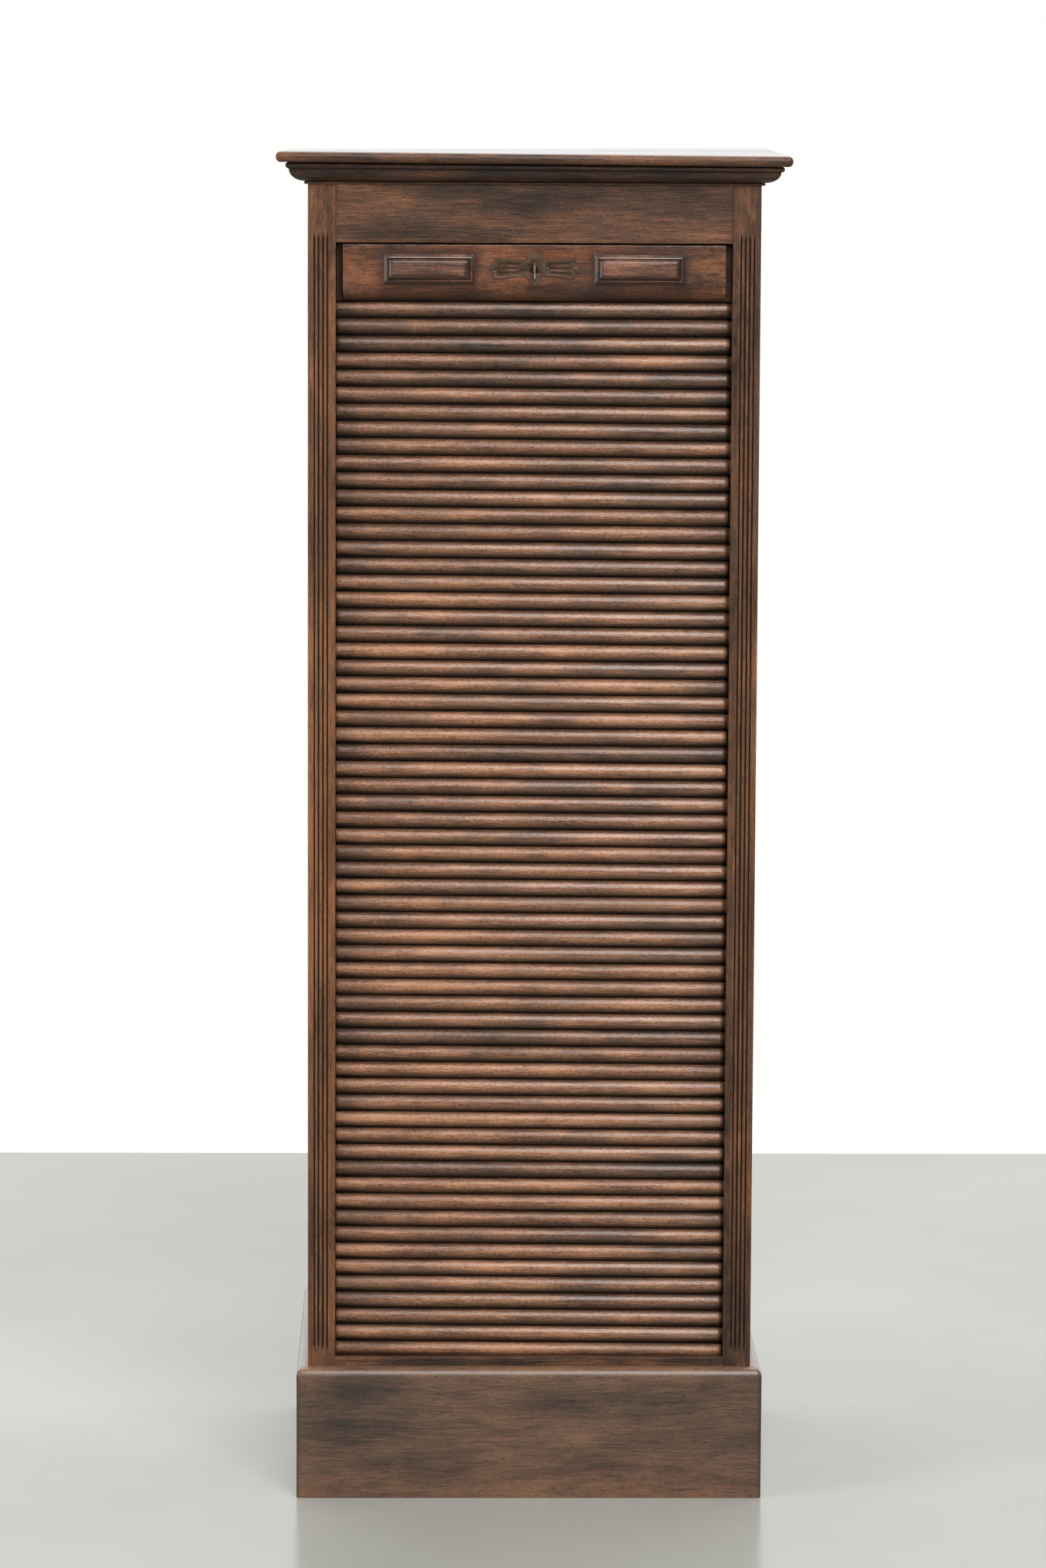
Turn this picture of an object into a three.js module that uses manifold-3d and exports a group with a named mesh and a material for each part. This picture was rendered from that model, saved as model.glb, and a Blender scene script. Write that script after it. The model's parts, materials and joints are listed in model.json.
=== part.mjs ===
// Tambour door cabinet: a narrow oak cupboard whose slatted curtain slides down and round behind its shelves.
// Millimetres. X runs across the front, the front looks along -Y, +Z is up, and the origin is on the floor
// under the middle of the top board.
import * as THREE from 'three';
import { mergeVertices } from 'three/addons/utils/BufferGeometryUtils.js';
import Module from 'manifold-3d';

const wasm = await Module();
wasm.setup();

// Case
const overallHeight = 1300;
const caseWidth = 430;
const caseDepth = 369;
const sideThickness = 22;
const backThickness = 10;
const innerBackThickness = 8;
const subTopThickness = 18;
const bottomBoardThickness = 18;

// Front frame
const stileWidth = 26.5;
const stileThickness = 13;
const friezeHeight = 55;
const friezeThickness = 20;
const sillHeight = 137.5;
const bottomRailHeight = 78;
const bottomRailThickness = 10.5;

// Flutes on the stiles
const fluteCount = 4;
const flutePitch = 4.25;
const fluteWidth = 3;
const fluteDepth = 1.9;
const fluteTaper = 12;
const fluteTopRise = 10;
const fluteBottomRise = 3.5;

// Top board and cornice
const topOverhang = 31;
const topThickness = 10;
const topEdgeRadius = 4.6;
const corniceHeight = 18.7;
const corniceProjection = 20.7;
const corniceTopBeadRadius = 2.6;
const corniceLowBeadRadius = 2.2;
const corniceLowBeadProjection = 4.7;
const corniceFillet = 0.6;

// Plinth
const plinthHeight = 129;
const plinthThickness = 11;
const plinthEdgeRadius = 9;

// Curtain
const slatHeight = 16;
const slatGap = 0.3;
const slatShoulder = 3;
const slatRise = 5.4;
const slatSetback = 12;
const slatEndClearance = 2.5;
const tongueThickness = 3.7;
const tongueLift = 0.3;
const tongueShoulder = 0.5;
const canvasThickness = 0.8;
const sectionCount = 12;
const bendRadius = 45;
const bendCentreHeight = 108;
const rearLineSetback = 12;
const rearRunTop = 900;
const tailRun = 20;

// Grooves that carry the curtain
const grooveDepth = 8.5;
const grooveInnerClearance = 0.6;
const grooveOuterClearance = 1.2;
const tongueEndClearance = 1;

// Lead rail
const leadRailHeight = 54;
const leadRailSetback = 4;
const leadRailEndClearance = 6.5;
const leadRailRoundHeight = 16;
const leadRailRoundDepth = 11;
const closedGap = 1.3;

// Handle pads
const padHeight = 28.5;
const padEndInset = 38.75;
const padEscutcheonGap = 13.95;
const padCentreDrop = 23.5;
const padRimWidth = 4.4;
const padRimThickness = 3;
const padRimEdge = 0.9;
const padGrooveWidth = 1;
const padGrooveFloor = 1.5;
const padOvoloWidth = 5;
const padFieldThickness = 6.5;

// Escutcheon, its pins and the keyhole
const escutcheonThickness = 1.3;
const escutcheonDrop = 23;
const wingEndReach = 36;
const wingEndHalfHeight = 9.4;
const wingRootHalfHeight = 6.8;
const wingCornerRadius = 2.6;
const headRadius = 8;
const headRise = 8.2;
const tailDrop = 17.3;
const tailShoulderDrop = 10.5;
const tailTipRadius = 1.6;
const notchRadius = 1;
const notchReach = 8;
const notchRise = 8.9;
const pinReach = 39;
const innerPinReach = 12;
const pinLobeRadius = 3.8;
const pinHeadRadius = 2;
const pinHeadRise = 1.1;
const pinShankRadius = 0.8;
const pinShankLength = 3.5;
const pinBoreClearance = 0.15;
const slotCount = 3;
const slotInnerReach = 15.4;
const slotOuterReach = 33.2;
const slotInnerPitch = 3.4;
const slotOuterPitch = 5.2;
const slotWidth = 1.8;
const keyholeRadius = 3;
const keyholeSlotWidth = 2.8;
const keyholeSlotRise = 9;

// Key
const keyDrop = 1.5;
const keyShankRadius = 2.1;
const keyBowHeight = 19.4;
const keyBowLength = 15;
const keyBowThickness = 2.8;
const keyBowRim = 3.6;
const keyBowStandoff = 5.5;
const keyCollarRadius = 3.2;
const keyCollarLength = 2;
const keyBitLength = 7.6;
const keyBitWidth = 4.5;
const keyBitThickness = 1.8;

// Lock
const lockWidth = 44;
const lockHeight = 37;
const lockThickness = 11.5;
const lockWall = 1.5;
const lockBackInset = 0.5;
const lockFitClearance = 0.3;
const lockSlotWidth = 23;
const beakThickness = 3.6;
const beakRadius = 9;
const beakWidth = 2.8;
const beakPivotReach = 11;
const beakPivotDrop = 4.8;
const beakHubRadius = 3;
const beakSpokeWidth = 3;
const beakPinRadius = 1.1;
const beakBoreClearance = 0.2;
const beakRestStart = 180;
const beakRestEnd = 270;
const beakSlotClearance = 0.85;

// Strike plate in the frieze
const strikeLength = 56;
const strikeWidth = 10.5;
const strikeThickness = 1.2;
const strikeSlotWidth = 18.4;
const strikeScrewReach = 20;
const strikeScrewHeadRadius = 2.6;
const strikeScrewShankRadius = 1.2;
const strikeScrewLength = 14;
const strikeFitClearance = 0.15;
const mortiseWidth = 32;
const mortiseHeight = 7;

// Shelves
const shelfCount = 4;
const shelfThickness = 12;
const shelfFrontSetback = 6;
const cleatWidth = 10;
const cleatHeight = 15;
const cleatEndSetback = 12;

// Allowances shared by the cuts and joints
const overrun = 4;
const hairline = 0.15;

// Fineness of the curves
const arcSteps = 6;
const slatArcSteps = 8;
const bendSteps = 10;
const roundSteps = 24;
const smallRoundSteps = 12;
const quarterTurn = Math.PI / 2;
const degree = Math.PI / 180;

// Places worked out from the sizes above
const topDepth = caseDepth + topOverhang;
const backY = topDepth / 2;
const frontY = backY - caseDepth;
const caseHalf = caseWidth / 2;
const innerHalf = caseHalf - sideThickness;
const openingHalf = caseHalf - stileWidth;
const topBoardBottom = overallHeight - topThickness;
const corniceBottom = topBoardBottom - corniceHeight;
const friezeBottom = corniceBottom - friezeHeight;
const friezeBackY = frontY + friezeThickness;
const stileBackY = frontY + stileThickness;
const slatThickness = slatShoulder + slatRise;
const slatPitch = slatHeight + slatGap;
const slatHalfWidth = openingHalf - slatEndClearance;
const tongueHalf = innerHalf + grooveDepth - tongueEndClearance;
const backLineY = frontY + slatSetback + slatThickness;
const tongueTop = tongueLift + tongueThickness;
const backPanelY = backY - backThickness;
const rearLineY = backPanelY - rearLineSetback;
const innerBackY = rearLineY - canvasThickness - grooveInnerClearance - rearLineSetback;
const subTopBottom = friezeBottom + mortiseHeight;
const leadRailTop = friezeBottom - closedGap;
const leadRailBottom = leadRailTop - leadRailHeight;
const leadRailFrontY = frontY + leadRailSetback;
const leadRailHalf = openingHalf - leadRailEndClearance;
const padInnerReach = pinReach + pinLobeRadius + padEscutcheonGap;
const padOuterReach = leadRailHalf - padEndInset;
const padWidth = padOuterReach - padInnerReach;
const padCentreReach = (padInnerReach + padOuterReach) / 2;
const escutcheonFrontY = leadRailFrontY - escutcheonThickness;
const escutcheonZ = leadRailTop - escutcheonDrop;
const keyZ = escutcheonZ - keyDrop;
const lockBackY = backLineY - lockBackInset;
const lockFrontY = lockBackY - lockThickness;
const lockBottom = leadRailTop - lockHeight;
const lockMiddleY = (lockFrontY + lockBackY) / 2;
const beakPivotZ = leadRailTop - beakPivotDrop;
const beakSlotHalf = beakThickness / 2 + beakSlotClearance;
const shelfFrontY = backLineY + canvasThickness + shelfFrontSetback;

// The line that the back of the slats follows: down the front, round under the floor, and up behind
const frontRun = leadRailBottom - bendCentreHeight;
const bendLength = quarterTurn * bendRadius;
const floorRun = rearLineY - backLineY - 2 * bendRadius;
const rearRun = rearRunTop - bendCentreHeight;
const floorRunZ = bendCentreHeight - bendRadius;
const curtainSlats = Math.ceil((frontRun + bendLength + tailRun) / slatPitch);
const slatsPerSection = Math.ceil(curtainSlats / sectionCount);

const lengthToBend = frontRun;
const lengthToFloor = lengthToBend + bendLength;
const lengthToRearBend = lengthToFloor + floorRun;
const lengthToRear = lengthToRearBend + bendLength;
const lengthToEnd = lengthToRear + rearRun;

function placeOnPath(length) {
  if (length < lengthToBend) {
    return { y: backLineY, z: leadRailBottom - length, along: [0, -1], out: [-1, 0] };
  }
  if (length < lengthToFloor) {
    const turn = (length - lengthToBend) / bendRadius;
    const out = [-Math.cos(turn), -Math.sin(turn)];
    const y = backLineY + bendRadius + bendRadius * out[0];
    const z = bendCentreHeight + bendRadius * out[1];
    return { y, z, along: [Math.sin(turn), -Math.cos(turn)], out };
  }
  if (length < lengthToRearBend) {
    const y = backLineY + bendRadius + length - lengthToFloor;
    return { y, z: floorRunZ, along: [1, 0], out: [0, -1] };
  }
  if (length < lengthToRear) {
    const turn = (length - lengthToRearBend) / bendRadius;
    const out = [Math.sin(turn), -Math.cos(turn)];
    const y = rearLineY - bendRadius + bendRadius * out[0];
    const z = bendCentreHeight + bendRadius * out[1];
    return { y, z, along: [Math.cos(turn), Math.sin(turn)], out };
  }
  return { y: rearLineY, z: bendCentreHeight + length - lengthToRear, along: [0, 1], out: [1, 0] };
}

function offPath(length, shift, rise) {
  const place = placeOnPath(length);
  return [
    place.y + shift * place.along[0] + rise * place.out[0],
    place.z + shift * place.along[1] + rise * place.out[1],
  ];
}

// Closed solid through rings of corners, with a flat cap on the first and on the last
function loft(rings) {
  const count = rings[0].length;
  const positions = rings.flat(2);
  const faces = [];
  for (let ring = 1; ring < rings.length; ring += 1) {
    for (let corner = 0; corner < count; corner += 1) {
      const next = (corner + 1) % count;
      const below = (ring - 1) * count;
      const above = ring * count;
      faces.push(below + corner, below + next, above + next);
      faces.push(below + corner, above + next, above + corner);
    }
  }
  faces.push(...capFaces(rings[0], 0, -1));
  faces.push(...capFaces(rings[rings.length - 1], (rings.length - 1) * count, 1));
  if (volumeOf(positions, faces) < 0) {
    faces.reverse();
  }
  const geometry = new THREE.BufferGeometry();
  geometry.setAttribute('position', new THREE.Float32BufferAttribute(positions, 3));
  geometry.setIndex(faces);
  return geometry;
}

function ringNormal(ring) {
  const normal = new THREE.Vector3();
  ring.forEach((corner, index) => {
    const here = new THREE.Vector3(...corner);
    const next = new THREE.Vector3(...ring[(index + 1) % ring.length]);
    normal.add(here.cross(next));
  });
  return normal.normalize();
}

function capFaces(ring, first, direction) {
  const normal = ringNormal(ring);
  const facesAlongX = Math.abs(normal.x) > Math.abs(normal.z);
  const side = facesAlongX ? new THREE.Vector3(0, 1, 0) : new THREE.Vector3(1, 0, 0);
  const across = new THREE.Vector3().crossVectors(normal, side).normalize();
  const up = new THREE.Vector3().crossVectors(normal, across);
  const flat = ring.map((corner) => {
    const point = new THREE.Vector3(...corner);
    return new THREE.Vector2(point.dot(across), point.dot(up));
  });
  const faces = [];
  THREE.ShapeUtils.triangulateShape(flat, []).forEach(([a, b, c]) => {
    const [p, q, r] = [a, b, c].map((corner) => new THREE.Vector3(...ring[corner]));
    const facing = q.sub(p).cross(r.sub(p)).dot(normal) * direction;
    faces.push(...(facing > 0 ? [a, b, c] : [a, c, b]).map((corner) => first + corner));
  });
  return faces;
}

function volumeOf(positions, faces) {
  const corner = (index) => new THREE.Vector3().fromArray(positions, 3 * faces[index]);
  let volume = 0;
  for (let face = 0; face < faces.length; face += 3) {
    volume += corner(face).dot(corner(face + 1).cross(corner(face + 2)));
  }
  return volume;
}

// Solids for cutting and joining
function solidOf(geometry) {
  const bare = geometry.clone();
  bare.deleteAttribute('normal');
  bare.deleteAttribute('uv');
  const merged = mergeVertices(bare);
  const vertProperties = new Float32Array(merged.attributes.position.array);
  const triVerts = new Uint32Array(merged.index.array);
  return new wasm.Manifold(new wasm.Mesh({ numProp: 3, vertProperties, triVerts }));
}

function geometryOf(solid) {
  const mesh = solid.getMesh();
  const geometry = new THREE.BufferGeometry();
  geometry.setAttribute('position', new THREE.Float32BufferAttribute(mesh.vertProperties, 3));
  geometry.setIndex(Array.from(mesh.triVerts));
  return geometry;
}

function joined(geometries) {
  return geometries.map(solidOf).reduce((whole, piece) => whole.add(piece));
}

function cut(solid, geometries) {
  return geometries.map(solidOf).reduce((whole, piece) => whole.subtract(piece), solid);
}

// Simple shapes placed by their limits
function block(x, y, z) {
  return loft(z.map((height) => [
    [x[0], y[0], height],
    [x[1], y[0], height],
    [x[1], y[1], height],
    [x[0], y[1], height],
  ]));
}

function rodAlongY(radius, x, y, z, steps) {
  const geometry = new THREE.CylinderGeometry(radius, radius, y[1] - y[0], steps);
  return geometry.translate(x, (y[0] + y[1]) / 2, z);
}

function uprightRod(radius, x, y, z, steps) {
  const geometry = new THREE.CylinderGeometry(radius, radius, z[1] - z[0], steps);
  return geometry.rotateX(quarterTurn).translate(x, y, (z[0] + z[1]) / 2);
}

function prismAlongX(outline, x) {
  return loft(x.map((place) => outline.map(([y, z]) => [place, y, z])));
}

function prismAlongY(outline, y) {
  return loft(y.map((place) => outline.map(([x, z]) => [x, place, z])));
}

function arcPoints(centre, radii, start, end, steps) {
  return Array.from({ length: steps + 1 }, (_, step) => {
    const angle = start + ((end - start) * step) / steps;
    return [centre[0] + radii[0] * Math.cos(angle), centre[1] + radii[1] * Math.sin(angle)];
  });
}

const finishes = {
  darkOak: { color: 0x4a3226, roughness: 0.42, metalness: 0 },
  plinthOak: { color: 0x3d2b23, roughness: 0.45, metalness: 0 },
  wornOak: { color: 0x6b3a26, roughness: 0.4, metalness: 0 },
  slatOak: { color: 0x5e3d2c, roughness: 0.38, metalness: 0 },
  innerOak: { color: 0x8a6a48, roughness: 0.6, metalness: 0 },
  agedBrass: { color: 0x5f5034, roughness: 0.45, metalness: 0.9 },
  steel: { color: 0xb8b8b4, roughness: 0.25, metalness: 1 },
  darkIron: { color: 0x3b3834, roughness: 0.5, metalness: 0.9 },
};

const cabinet = new THREE.Group();
const materials = {};
Object.entries(finishes).forEach(([name, finish]) => {
  materials[name] = new THREE.MeshStandardMaterial(finish);
});

function addPiece(name, geometry, finish) {
  const mesh = new THREE.Mesh(geometry, materials[finish]);
  mesh.name = name;
  cabinet.add(mesh);
}

const sides = [['left', -1], ['right', 1]];

function span(side, inner, outer) {
  return side < 0 ? [-outer, -inner] : [inner, outer];
}

// Side boards with the routed groove that the tongues run in
function grooveOutline() {
  const low = -grooveInnerClearance;
  const high = tongueTop + grooveOuterClearance;
  const start = leadRailBottom - friezeBottom;
  const lengths = [start, lengthToBend];
  for (let step = 1; step <= bendSteps; step += 1) {
    lengths.push(lengthToBend + (bendLength * step) / bendSteps);
  }
  for (let step = 0; step <= bendSteps; step += 1) {
    lengths.push(lengthToRearBend + (bendLength * step) / bendSteps);
  }
  lengths.push(lengthToEnd);
  const outer = lengths.map((length) => offPath(length, 0, high));
  const inner = lengths.map((length) => offPath(length, 0, low));
  return [...outer, ...inner.reverse()];
}

function sideBoard(side) {
  const board = solidOf(block(span(side, innerHalf, caseHalf), [stileBackY, backY], [0, topBoardBottom]));
  const groove = prismAlongX(grooveOutline(), span(side, innerHalf - overrun, innerHalf + grooveDepth));
  return geometryOf(cut(board, [groove]));
}

// Stiles with their four pointed flutes
function flute(x) {
  const half = fluteWidth / 2;
  const bottom = sillHeight + fluteBottomRise;
  const top = friezeBottom + fluteTopRise;
  const rings = [
    [bottom, 0],
    [bottom + fluteTaper, 1],
    [top - fluteTaper, 1],
    [top, 0],
  ].map(([z, share]) => {
    const halfHere = half * share + hairline;
    const depthHere = fluteDepth * share + hairline;
    return [
      [x - halfHere, frontY - overrun, z],
      [x + halfHere, frontY - overrun, z],
      [x + halfHere, frontY, z],
      [x, frontY + depthHere, z],
      [x - halfHere, frontY, z],
    ];
  });
  return loft(rings);
}

function stile(side) {
  const middle = side * (openingHalf + stileWidth / 2);
  const post = solidOf(block(span(side, openingHalf, caseHalf), [frontY, stileBackY], [0, topBoardBottom]));
  const flutes = Array.from({ length: fluteCount }, (_, index) => {
    return flute(middle + (index - (fluteCount - 1) / 2) * flutePitch);
  });
  return geometryOf(cut(post, flutes));
}

// Mouldings run along the front and both sides and meet in mitres
function frontMoulding(profile) {
  const ring = (end) => profile.map(([out, z]) => [end * (caseHalf + out), frontY - out, z]);
  return loft([ring(-1), ring(1)]);
}

function sideMoulding(profile, side) {
  const front = profile.map(([out, z]) => [side * (caseHalf + out), frontY - out + hairline, z]);
  const back = profile.map(([out, z]) => [side * (caseHalf + out), backY, z]);
  return loft([front, back]);
}

function corniceProfile() {
  const lowBeadOut = corniceLowBeadProjection - corniceLowBeadRadius;
  const lowBeadZ = corniceBottom + corniceLowBeadRadius;
  const lowBead = [corniceLowBeadRadius, corniceLowBeadRadius];
  const topBeadOut = corniceProjection - corniceTopBeadRadius;
  const topBeadZ = topBoardBottom - corniceTopBeadRadius;
  const topBead = [corniceTopBeadRadius, corniceTopBeadRadius];
  const ovoloTop = topBeadZ - corniceTopBeadRadius;
  const ovoloBottom = lowBeadZ + corniceLowBeadRadius + corniceFillet;
  const ovolo = [topBeadOut - lowBeadOut - corniceFillet, ovoloTop - ovoloBottom];
  return [
    [0, corniceBottom],
    ...arcPoints([lowBeadOut, lowBeadZ], lowBead, -quarterTurn, quarterTurn, arcSteps),
    ...arcPoints([lowBeadOut, ovoloTop], ovolo, -quarterTurn, 0, arcSteps),
    ...arcPoints([topBeadOut, topBeadZ], topBead, -quarterTurn, quarterTurn, arcSteps),
    [0, topBoardBottom],
  ];
}

function plinthProfile() {
  const centre = [plinthThickness - plinthEdgeRadius, plinthHeight - plinthEdgeRadius];
  return [
    [0, 0],
    [plinthThickness, 0],
    ...arcPoints(centre, [plinthEdgeRadius, plinthEdgeRadius], 0, quarterTurn, arcSteps),
    [0, plinthHeight],
  ];
}

// Top board, half-round along the front and the sides and square at the back
function topBoard() {
  const half = caseHalf + topOverhang;
  const low = arcPoints([topEdgeRadius, topBoardBottom + topEdgeRadius], [topEdgeRadius, topEdgeRadius],
    3 * quarterTurn, 2 * quarterTurn, arcSteps);
  const high = arcPoints([topEdgeRadius, overallHeight - topEdgeRadius], [topEdgeRadius, topEdgeRadius],
    2 * quarterTurn, quarterTurn, arcSteps);
  return loft([...low, ...high].map(([inset, z]) => [
    [-half + inset, -backY + inset, z],
    [half - inset, -backY + inset, z],
    [half - inset, backY, z],
    [-half + inset, backY, z],
  ]));
}

// Frieze rail with the mortise that the lock's beaks enter
function friezeRail() {
  const rail = solidOf(block([-openingHalf, openingHalf], [frontY, friezeBackY],
    [friezeBottom, topBoardBottom]));
  const plate = strikeLength / 2 + strikeFitClearance;
  const plateY = strikeWidth / 2 + strikeFitClearance;
  const plateTop = friezeBottom + strikeThickness + strikeFitClearance;
  const screwTop = friezeBottom + strikeScrewLength + strikeFitClearance;
  const bores = sides.map(([, side]) => uprightRod(strikeScrewShankRadius + strikeFitClearance,
    side * strikeScrewReach, lockMiddleY, [friezeBottom, screwTop], smallRoundSteps));
  return geometryOf(cut(rail, [
    block([-plate, plate], [lockMiddleY - plateY, lockMiddleY + plateY], [friezeBottom - overrun, plateTop]),
    block([-mortiseWidth / 2, mortiseWidth / 2], [lockMiddleY - beakSlotHalf, lockMiddleY + beakSlotHalf],
      [friezeBottom, friezeBottom + mortiseHeight]),
    ...bores,
  ]));
}

function strikePlate() {
  const half = strikeLength / 2;
  const top = friezeBottom + strikeThickness;
  const plate = solidOf(block([-half, half], [lockMiddleY - strikeWidth / 2, lockMiddleY + strikeWidth / 2],
    [friezeBottom, top]));
  const slot = block([-strikeSlotWidth / 2, strikeSlotWidth / 2],
    [lockMiddleY - beakSlotHalf, lockMiddleY + beakSlotHalf], [friezeBottom - overrun, top + overrun]);
  const holes = sides.map(([, side]) => uprightRod(strikeScrewHeadRadius + strikeFitClearance,
    side * strikeScrewReach, lockMiddleY, [friezeBottom - overrun, top + overrun], smallRoundSteps));
  return geometryOf(cut(plate, [slot, ...holes]));
}

function strikeScrew(side) {
  const x = side * strikeScrewReach;
  const headTop = friezeBottom + strikeThickness;
  return geometryOf(joined([
    uprightRod(strikeScrewHeadRadius, x, lockMiddleY, [friezeBottom, headTop], smallRoundSteps),
    uprightRod(strikeScrewShankRadius, x, lockMiddleY, [friezeBottom, friezeBottom + strikeScrewLength],
      smallRoundSteps),
  ]));
}

// Curtain: each section is a run of slats glued on its stretch of canvas
function slatOutline(middle) {
  const half = slatHeight / 2;
  const radius = (half * half + slatRise * slatRise) / (2 * slatRise);
  const sweep = Math.asin(half / radius);
  const points = [[-half, 0]];
  for (let step = 0; step <= slatArcSteps; step += 1) {
    const angle = -sweep + (2 * sweep * step) / slatArcSteps;
    points.push([radius * Math.sin(angle), slatThickness - radius + radius * Math.cos(angle)]);
  }
  points.push([half, 0]);
  return points.map(([shift, rise]) => offPath(middle, shift, rise));
}

function tongue(middle) {
  const half = slatHeight / 2 - tongueShoulder;
  const corners = [[-half, tongueLift], [-half, tongueTop], [half, tongueTop], [half, tongueLift]];
  return prismAlongX(corners.map(([shift, rise]) => offPath(middle, shift, rise)), [-tongueHalf, tongueHalf]);
}

function tambourSection(index) {
  const first = index * slatsPerSection;
  const starts = Array.from({ length: slatsPerSection }, (_, slat) => slatGap + (first + slat) * slatPitch);
  const middles = starts.map((start) => start + slatHeight / 2);
  const seams = [starts[0]];
  starts.slice(1).forEach((start) => seams.push(start - slatGap / 2));
  seams.push(starts[slatsPerSection - 1] + slatHeight);
  const canvas = seams.map((seam) => offPath(seam, 0, -canvasThickness));
  const outline = [...middles.flatMap(slatOutline), ...canvas.reverse()];
  const body = prismAlongX(outline, [-slatHalfWidth, slatHalfWidth]);
  return geometryOf(joined([body, ...middles.map(tongue)]));
}

// Lead rail: the board at the top of the curtain, with the lock let into its back
function leadRail() {
  const round = arcPoints([leadRailFrontY + leadRailRoundDepth, leadRailBottom + leadRailRoundHeight],
    [leadRailRoundDepth, leadRailRoundHeight], 2 * quarterTurn, 3 * quarterTurn, arcSteps);
  const outline = [
    [backLineY, leadRailTop],
    [leadRailFrontY, leadRailTop],
    ...round,
    [backLineY, leadRailBottom],
  ];
  const face = prismAlongX(outline, [-leadRailHalf, leadRailHalf]);
  const runners = block([-tongueHalf, tongueHalf], [backLineY - tongueTop, backLineY - tongueLift],
    [leadRailBottom, leadRailTop]);
  const half = lockWidth / 2 + lockFitClearance;
  const pinBore = pinShankRadius + pinBoreClearance;
  const boreEnd = leadRailFrontY + pinShankLength + pinBoreClearance;
  return geometryOf(cut(joined([face, runners]), [
    block([-half, half], [lockFrontY - lockFitClearance, backLineY + overrun],
      [lockBottom - lockFitClearance, leadRailTop + overrun]),
    keyhole([leadRailFrontY - overrun, lockFrontY]),
    ...pinPlaces().map((x) => rodAlongY(pinBore, x, [leadRailFrontY - overrun, boreEnd], escutcheonZ,
      smallRoundSteps)),
  ]));
}

// Handle pads, stepped up from a rim and a groove to a raised flat field
function handlePad(side) {
  const centre = [side * padCentreReach, leadRailTop - padCentreDrop];
  const grooveEnd = padRimWidth + padGrooveWidth;
  const fieldStart = grooveEnd + padOvoloWidth;
  const ovolo = arcPoints([fieldStart, padGrooveFloor], [padOvoloWidth, padFieldThickness - padGrooveFloor],
    2 * quarterTurn, quarterTurn, arcSteps);
  const steps = [
    [0, 0],
    [0, padRimThickness - padRimEdge],
    [padRimEdge, padRimThickness],
    [padRimWidth, padRimThickness],
    [padRimWidth, padGrooveFloor],
    ...ovolo,
  ];
  return loft(steps.map(([inset, rise]) => {
    const halfWidth = padWidth / 2 - inset;
    const halfHeight = padHeight / 2 - inset;
    const y = leadRailFrontY - rise;
    return [
      [centre[0] - halfWidth, y, centre[1] - halfHeight],
      [centre[0] + halfWidth, y, centre[1] - halfHeight],
      [centre[0] + halfWidth, y, centre[1] + halfHeight],
      [centre[0] - halfWidth, y, centre[1] + halfHeight],
    ];
  }));
}

// Escutcheon: a round head, a pointed tail and two slotted wings
function pinPlaces() {
  return sides.flatMap(([, side]) => [side * pinReach, side * innerPinReach]);
}

function keyhole(y) {
  const half = keyholeSlotWidth / 2;
  return geometryOf(joined([
    rodAlongY(keyholeRadius, 0, y, keyZ, roundSteps),
    block([-half, half], y, [keyZ, keyZ + keyholeSlotRise]),
  ]));
}

function escutcheonWing(side, y) {
  const corner = wingEndReach - wingCornerRadius;
  const cornerRise = wingEndHalfHeight - wingCornerRadius;
  const outline = [
    [0, -wingRootHalfHeight],
    [side * corner, -wingEndHalfHeight],
    [side * wingEndReach, -cornerRise],
    [side * pinReach, -pinLobeRadius],
    [side * pinReach, pinLobeRadius],
    [side * wingEndReach, cornerRise],
    [side * corner, wingEndHalfHeight],
    [0, wingRootHalfHeight],
  ].map(([x, z]) => [x, escutcheonZ + z]);
  return [
    prismAlongY(outline, y),
    rodAlongY(wingCornerRadius, side * corner, y, escutcheonZ + cornerRise, smallRoundSteps),
    rodAlongY(wingCornerRadius, side * corner, y, escutcheonZ - cornerRise, smallRoundSteps),
    rodAlongY(pinLobeRadius, side * pinReach, y, escutcheonZ, roundSteps),
  ];
}

function escutcheonSlot(side, row, y) {
  const inner = [side * slotInnerReach, escutcheonZ + row * slotInnerPitch];
  const outer = [side * slotOuterReach, escutcheonZ + row * slotOuterPitch];
  const half = slotWidth / 2;
  return prismAlongY([
    [inner[0], inner[1] - half],
    [outer[0], outer[1] - half],
    [outer[0], outer[1] + half],
    [inner[0], inner[1] + half],
  ], y);
}

function escutcheon() {
  const y = [escutcheonFrontY, leadRailFrontY];
  const through = [escutcheonFrontY - overrun, leadRailFrontY + overrun];
  const tail = [
    [-headRadius, headRise],
    [-headRadius, -tailShoulderDrop],
    [-tailTipRadius, -tailDrop],
    [tailTipRadius, -tailDrop],
    [headRadius, -tailShoulderDrop],
    [headRadius, headRise],
  ].map(([x, z]) => [x, escutcheonZ + z]);
  const plate = joined([
    prismAlongY(tail, y),
    rodAlongY(headRadius, 0, y, escutcheonZ + headRise, roundSteps),
    ...sides.flatMap(([, side]) => escutcheonWing(side, y)),
  ]);
  const pinBore = pinShankRadius + pinBoreClearance;
  const rows = Array.from({ length: slotCount }, (_, row) => row - (slotCount - 1) / 2);
  return geometryOf(cut(plate, [
    keyhole(through),
    ...pinPlaces().map((x) => rodAlongY(pinBore, x, through, escutcheonZ, smallRoundSteps)),
    ...sides.map(([, side]) => rodAlongY(notchRadius, side * notchReach, through, escutcheonZ + notchRise,
      smallRoundSteps)),
    ...sides.flatMap(([, side]) => rows.map((row) => escutcheonSlot(side, row, through))),
  ]));
}

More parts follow.
